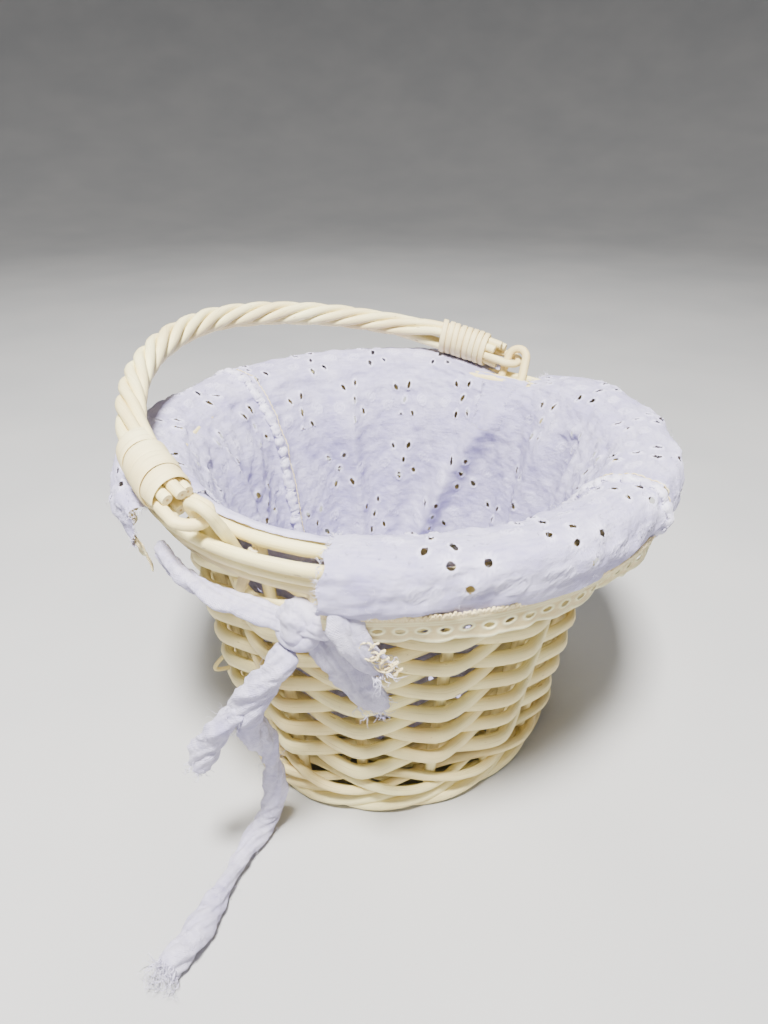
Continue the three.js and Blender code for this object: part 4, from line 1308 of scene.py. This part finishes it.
class BasketSizes(bpy.types.PropertyGroup):
    """Sizes a maker would change."""
    rod_depth: bpy.props.FloatProperty(
        name="Wall rod depth", description="Thickness of the wall's rods, in to out",
        default=0.0045, unit="LENGTH")
    rod_height: bpy.props.FloatProperty(
        name="Wall rod height", description="Height of the wall's rods", default=0.0061,
        unit="LENGTH")
    twists: bpy.props.IntProperty(
        name="Handle twists", description="Turns of the handle's rods about each other", default=3)
    scallop: bpy.props.FloatProperty(
        name="Lace scallop", description="Width of one scallop of the lace", default=0.014,
        unit="LENGTH")


class BasketColours(bpy.types.PropertyGroup):
    """Colours a maker would change."""
    willow: bpy.props.FloatVectorProperty(
        name="Willow", description="Bleached willow where it is palest", subtype="COLOR",
        default=linear("F6EAAC"))
    willow_warm: bpy.props.FloatVectorProperty(
        name="Warm willow", description="Willow in its warmer patches", subtype="COLOR",
        default=linear("E2C584"))
    cotton: bpy.props.FloatVectorProperty(
        name="Cotton", description="The liner's lilac cotton", subtype="COLOR",
        default=linear("CBC6E0"))
    cotton_deep: bpy.props.FloatVectorProperty(
        name="Deep cotton", description="The cotton where its dye took more", subtype="COLOR",
        default=linear("A39CC8"))
    lace: bpy.props.FloatVectorProperty(
        name="Lace", description="Ivory lace", subtype="COLOR", default=linear("F3E4B4"))
    lace_deep: bpy.props.FloatVectorProperty(
        name="Deep lace", description="Lace where it is most yellowed", subtype="COLOR",
        default=linear("DFC78A"))


def willow_piece(name, parts, nodes, key="bleached_willow_rod",
                 body="basket"):
    return make_piece(name, parts, [finish(key), finish("cut_willow_end")], nodes, body,
                      sharp=math.radians(50))


def lilac_threads(name, parts):
    return make_piece(name, parts, [finish("lilac_sewing_thread")])


def lace_threads(name, parts):
    return make_piece(name, parts, [finish("ivory_lace_thread")])


# ---------------------------------------------------------------- operators

class BASKET_OT_foot_and_base(bpy.types.Operator):
    """Make the rolled foot, the waled rows above it and the woven base"""
    bl_idname = "basket.foot_and_base"
    bl_label = "Foot and base"

    def execute(self, context):
        foot = rolled_ring(76.2, 4.5, 2.5, 2.1, 0.0, FOOT_ROD, 800, flow=-1)
        willow_piece("willow_foot_border", foot, ["foot_border"])
        wale = rolled_ring(stake_line(15.6), 15.7, 4.9, 2.7, 1.6, WALE_ROD, 830)
        willow_piece("willow_wale", wale, nodes_like("wale_rod"))
        sticks, weave = base_parts()
        willow_piece("willow_base_sticks", sticks, ["base_sticks"])
        willow_piece("willow_base_weave", weave, ["base_weave"])
        return {"FINISHED"}


class BASKET_OT_wall(bpy.types.Operator):
    """Make the sixteen stakes and the two weavers that chase each other up the wall"""
    bl_idname = "basket.wall"
    bl_label = "Stakes and weave"

    def execute(self, context):
        sizes = context.scene.basket_sizes
        willow_piece("willow_stakes", stake_parts(), nodes_like("stake_"))
        weave = wall_weave_parts(sizes.rod_depth / MM / 2, sizes.rod_height / MM / 2)
        willow_piece("willow_weave", weave, nodes_like("weaver_"))
        return {"FINISHED"}


class BASKET_OT_border(bpy.types.Operator):
    """Make the border rods, the cut ends below them and the two rim loops"""
    bl_idname = "basket.border"
    bl_label = "Border and rim loops"

    def execute(self, context):
        willow_piece("willow_border", rim_parts(), nodes_like("rim_rod"))
        willow_piece("willow_cut_ends", rim_end_parts(), [])
        for end, side in (("near", -1), ("far", 1)):
            willow_piece(f"willow_rim_loop_{end}", [rim_loop_parts(side)], [f"rim_loop_{end}"])
        return {"FINISHED"}


class BASKET_OT_handle(bpy.types.Operator):
    """Make the twisted handle, its bindings and its end loops"""
    bl_idname = "basket.handle"
    bl_label = "Handle"

    def execute(self, context):
        rods = handle_rod_parts(context.scene.basket_sizes.twists)
        willow_piece("willow_handle_rods", rods, nodes_like("handle_rod"), "handled_willow_rod",
                     "handle")
        for far, end in ((0, "near"), (1, "far")):
            willow_piece(f"willow_binding_{end}", binding_parts(far), [f"binding_{end}"],
                         "split_willow_skein", "handle")
            loop = handle_loop_parts(1 if far else -1)
            willow_piece(f"willow_handle_loop_{end}", [loop], [f"handle_loop_{end}"],
                         "handled_willow_rod", "handle")
        return {"FINISHED"}


class BASKET_OT_cuffs(bpy.types.Operator):
    """Make the cuffs over the border, the serged edge, the lace and the ravelled threads"""
    bl_idname = "basket.cuffs"
    bl_label = "Cuffs and lace"

    def execute(self, context):
        scallop = context.scene.basket_sizes.scallop / MM
        for side, span in (("back", CUFF_BACK), ("front", CUFF_FRONT)):
            cuff_piece(f"cuff_{side}_cloth", span, [f"cuff_{side}"])
            lace_piece(f"lace_{side}_edging", span, [f"lace_{side}"], scallop)
            lace_threads(f"serging_{side}", serging_parts(span, 43))
        lilac_threads("cuff_end_threads", cuff_end_threads(47))
        strip, frays, loops = cuff_scrap(71)
        make_piece("cuff_scrap", [strip], [finish("lilac_tie_cotton")],
                   stitch=np.zeros(len(strip["points"])))
        lilac_threads("cuff_scrap_threads", frays)
        lace_threads("cuff_scrap_lace", loops)
        return {"FINISHED"}


class BASKET_OT_liner(bpy.types.Operator):
    """Make the liner's two panels, its edge in the gaps, its seams and topstitching"""
    bl_idname = "basket.liner"
    bl_label = "Liner"

    def execute(self, context):
        near = bag_panel("liner_panel_near", math.pi / 2)
        bag_panel("liner_panel_far", -math.pi / 2)
        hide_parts("liner_bag")
        edge_piece("liner_edge_near", CUFF_BACK[1] - 0.05, CUFF_FRONT[0] + 0.05)
        edge_piece("liner_edge_far", CUFF_FRONT[1] - TURN - 0.05, CUFF_BACK[0] + 0.05)
        seams = seam_parts(math.pi / 2) + seam_parts(-math.pi / 2)
        lilac_threads("liner_seams", seams)
        lines = topstitch_parts(math.pi / 2, -5.2) + topstitch_parts(-math.pi / 2, 5.0)
        lace_threads("liner_topstitching", lines)
        return {"FINISHED"}


class BASKET_OT_ties(bpy.types.Operator):
    """Make the knotted cloth ties at the two handle pivots"""
    bl_idname = "basket.ties"
    bl_label = "Ties"

    def execute(self, context):
        cloth = [finish("lilac_tie_cotton")]
        fray = [finish("lilac_sewing_thread")]

        def tie(name, parts, nodes, materials=cloth):
            stitch = np.zeros(sum(len(p["points"]) for p in parts))
            return make_piece(name, parts, materials, nodes, stitch=stitch)

        def hang(tail, centre, route, path, pieces):
            """Works out the knot's centre, the long tail's length and its route in metres and lists the
            pieces, but keeps none of them; tail is not used.
            """
            tuple(c * MM for c in centre)
            float(path_lengths(path)[-1]) * MM
            [tuple(c * MM for c in p) for p in route]
            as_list(pieces)

        # Radii along a long tail: fat where it puffs, thin where it is twisted tight.
        radii = [(0, 4.8), (0.06, 5.3), (0.14, 5.6), (0.25, 4.9), (0.33, 4.3), (0.42, 3.1),
                 (0.48, 3.9), (0.55, 4.9), (0.64, 4.5), (0.73, 3.1), (0.82, 3.3), (0.88, 4.5),
                 (0.97, 5.2), (1, 4.8)]
        band, _ = crumpled(NEAR_BAND_BACK + [NEAR_KNOT], [(0, 4.6), (0.5, 4.8), (1, 3.4)],
                           (0, 0, 1), 51, 0.5, 160.0)
        front, _ = crumpled(NEAR_BAND_FRONT + [NEAR_KNOT], [(0, 3.2), (1, 3.2)], (0, 0, 1), 52)
        bands = tie("tie_near_bands", [band, front], ["tie_near_band_back", "tie_near_band_front"])
        knot = tie("tie_near_knot_cloth", knot_parts(NEAR_KNOT, 53), ["tie_near_knot"])
        short, short_path = crumpled([(-115.2, -20.5, 86)] + NEAR_SHORT,
                                     [(0, 3.4), (0.25, 4.3), (0.7, 4.6), (1, 4.0)], (0, 1, 0), 54)
        wide, wide_path = crumpled([NEAR_KNOT] + NEAR_WIDE,
                                   [(0, 3.6), (0.15, 4.8), (0.38, 7.6), (0.7, 8.2), (1, 6.4)],
                                   (0.55, -0.8, 0), 55, 0.36, 500.0)
        short_tail = tie("tie_near_short_cloth", [short], ["tie_near_tail_short"])
        wide_tail = tie("tie_near_wide_cloth", [wide], ["tie_near_tail_wide"])
        long, long_path = crumpled(NEAR_LONG, radii, (0, 1, 0), 56)
        tail = tie("tie_near_long_cloth", [long], ["tie_near_tail_long"])
        frays = tie("tie_near_frays", [lint(long_path, 4.2, 72), lint(short_path, 3.8, 73, 70),
                                       frayed_tip(long_path, 4.6, 57, 90, 7.0),
                                       frayed_tip(short_path, 3.8, 58, 50, 3.5),
                                       frayed_tip(wide_path, 5.5, 59, 50, 4.0)], [], fray)
        hang(tail, NEAR_KNOT, NEAR_LONG, long_path, [bands, knot, short_tail, wide_tail, frays])

        band, _ = crumpled(FAR_BAND + [FAR_KNOT], [(0, 3.2), (1, 3.2)], (0, 0, 1), 61)
        bands = tie("tie_far_bands", [band], ["tie_far_band_back"])
        knot = tie("tie_far_knot_cloth", knot_parts(FAR_KNOT, 63), ["tie_far_knot"])
        short, short_path = crumpled(FAR_SHORT, [(0, 3.6), (0.4, 4.6), (1, 4.2)], (1, 0, 0), 64)
        short_tail = tie("tie_far_short_cloth", [short], ["tie_far_tail_short"])
        long, long_path = crumpled(FAR_LONG, radii, (0, 1, 0), 66)
        tail = tie("tie_far_long_cloth", [long], ["tie_far_tail_long"])
        frays = tie("tie_far_frays", [lint(long_path, 4.2, 74),
                                      frayed_tip(long_path, 4.6, 67, 90, 6.0),
                                      frayed_tip(short_path, 3.8, 68, 50, 3.5)], [], fray)
        hang(tail, FAR_KNOT, FAR_LONG, long_path, [bands, knot, short_tail, frays])
        return {"FINISHED"}


class BASKET_OT_stage(bpy.types.Operator):
    """Make the pale floor, the soft lights and the camera"""
    bl_idname = "basket.stage"
    bl_label = "Floor, lights and camera"

    def execute(self, context):
        scene = context.scene
        # Painted studio floor: pale, matt and very slightly mottled.
        material, tree, base = new_material("painted_studio_floor", roughness=0.9)
        solid = add_node(tree, "ShaderNodeTexCoord").outputs["Object"]
        patches = noise_at(tree, solid, 6.0, (1.0, 1.0, 1.0), 2.0)
        tone = ramp(tree, patches, (0.3, linear("B4B4B4")), (0.7, linear("BDBCBB")))
        tree.links.new(tone, base.inputs["Base Color"])
        # Flat to 1.6 m, then a smooth cove: height = 0.28 x (reach - 1.6 m) squared.
        reach, turn = np.meshgrid(np.concatenate([[0.0], np.linspace(1.6, 4.2, 28)]),
                                  np.linspace(0, TURN, 96, endpoint=False), indexing="ij")
        height = 0.28 * np.maximum(reach - 1.6, 0) ** 2
        points = np.stack([reach * np.cos(turn), reach * np.sin(turn), height], -1)
        blank = np.zeros(np.add(points.shape[:2], 1))
        part = grid_part(points, blank, blank, round_cols=True)
        mesh = bpy.data.meshes.new("floor")
        # The grid's faces look down, so their corners are taken backwards.
        mesh.from_pydata(part["points"].tolist(), [], part["faces"][0][0][:, ::-1].tolist())
        mesh.shade_smooth()
        mesh.validate()
        floor = bpy.data.objects.new("floor", mesh)
        mesh.materials.append(material)
        scene.collection.objects.link(floor)

        world = bpy.data.worlds.new("studio")
        world.use_nodes = True
        world.node_tree.nodes["Background"].inputs["Color"].default_value = (0.93, 0.95, 1.0, 1)
        world.node_tree.nodes["Background"].inputs["Strength"].default_value = 0.17
        scene.world = world
        aim = Vector((0, 0, 0.09))
        for name, place, size, power, colour in (
                ("key", (-0.4, -0.2, 1.12), 0.2, 56.0, (1.0, 0.985, 0.96)),
                ("fill", (-0.8, -0.8, 0.6), 0.8, 3.5, (0.97, 0.98, 1.0)),
                ("back", (0.6, 0.5, 1.0), 0.6, 5.0, (1.0, 0.99, 0.97))):
            light = bpy.data.lights.new(name, "AREA")
            light.size, light.energy, light.color = size, power, colour
            obj = bpy.data.objects.new(name, light)
            obj.location = place
            obj.rotation_euler = (aim - Vector(place)).to_track_quat("-Z", "Y").to_euler()
            scene.collection.objects.link(obj)

        data = bpy.data.cameras.new("camera")
        data.sensor_width = 36
        data.lens = 25.3125
        data.clip_start, data.clip_end = 0.01, 20
        camera = bpy.data.objects.new("camera", data)
        right = Vector((0.5976, -0.8018, 0))
        forward = Vector((0.7046, 0.5252, -0.4772)).normalized()
        up = right.cross(forward)
        turn = Matrix((right, up, -forward)).transposed().to_4x4()
        camera.matrix_world = Matrix.Translation((-0.2289, -0.163, 0.254)) @ turn
        scene.collection.objects.link(camera)
        scene.camera = camera
        return {"FINISHED"}


class BASKET_PT_panel(bpy.types.Panel):
    """Sizes, colours and the steps that make the basket, in order"""
    bl_idname = "BASKET_PT_panel"
    bl_label = "Lined basket"
    bl_space_type = "VIEW_3D"
    bl_region_type = "UI"
    bl_category = "Basket"

    def draw(self, context):
        for group in (context.scene.basket_sizes, context.scene.basket_colours):
            for key in group.__annotations__:
                self.layout.prop(group, key)
        for step in STEPS:
            self.layout.operator(step.bl_idname)


STEPS = (BASKET_OT_stage, BASKET_OT_ties, BASKET_OT_foot_and_base, BASKET_OT_wall,
         BASKET_OT_border, BASKET_OT_handle, BASKET_OT_cuffs, BASKET_OT_liner)
CLASSES = (BasketSizes, BasketColours, *STEPS, BASKET_PT_panel)


def register():
    for cls in CLASSES:
        bpy.utils.register_class(cls)
    bpy.types.Scene.basket_sizes = bpy.props.PointerProperty(type=BasketSizes)
    bpy.types.Scene.basket_colours = bpy.props.PointerProperty(type=BasketColours)


def unregister():
    del bpy.types.Scene.basket_colours
    del bpy.types.Scene.basket_sizes
    for cls in reversed(CLASSES):
        bpy.utils.unregister_class(cls)


def main():
    register()
    bpy.ops.basket.stage()
    bpy.ops.basket.ties()
    bpy.ops.basket.foot_and_base()
    bpy.ops.basket.wall()
    bpy.ops.basket.border()
    bpy.ops.basket.handle()
    bpy.ops.basket.cuffs()
    bpy.ops.basket.liner()


if __name__ == "__main__":
    main()
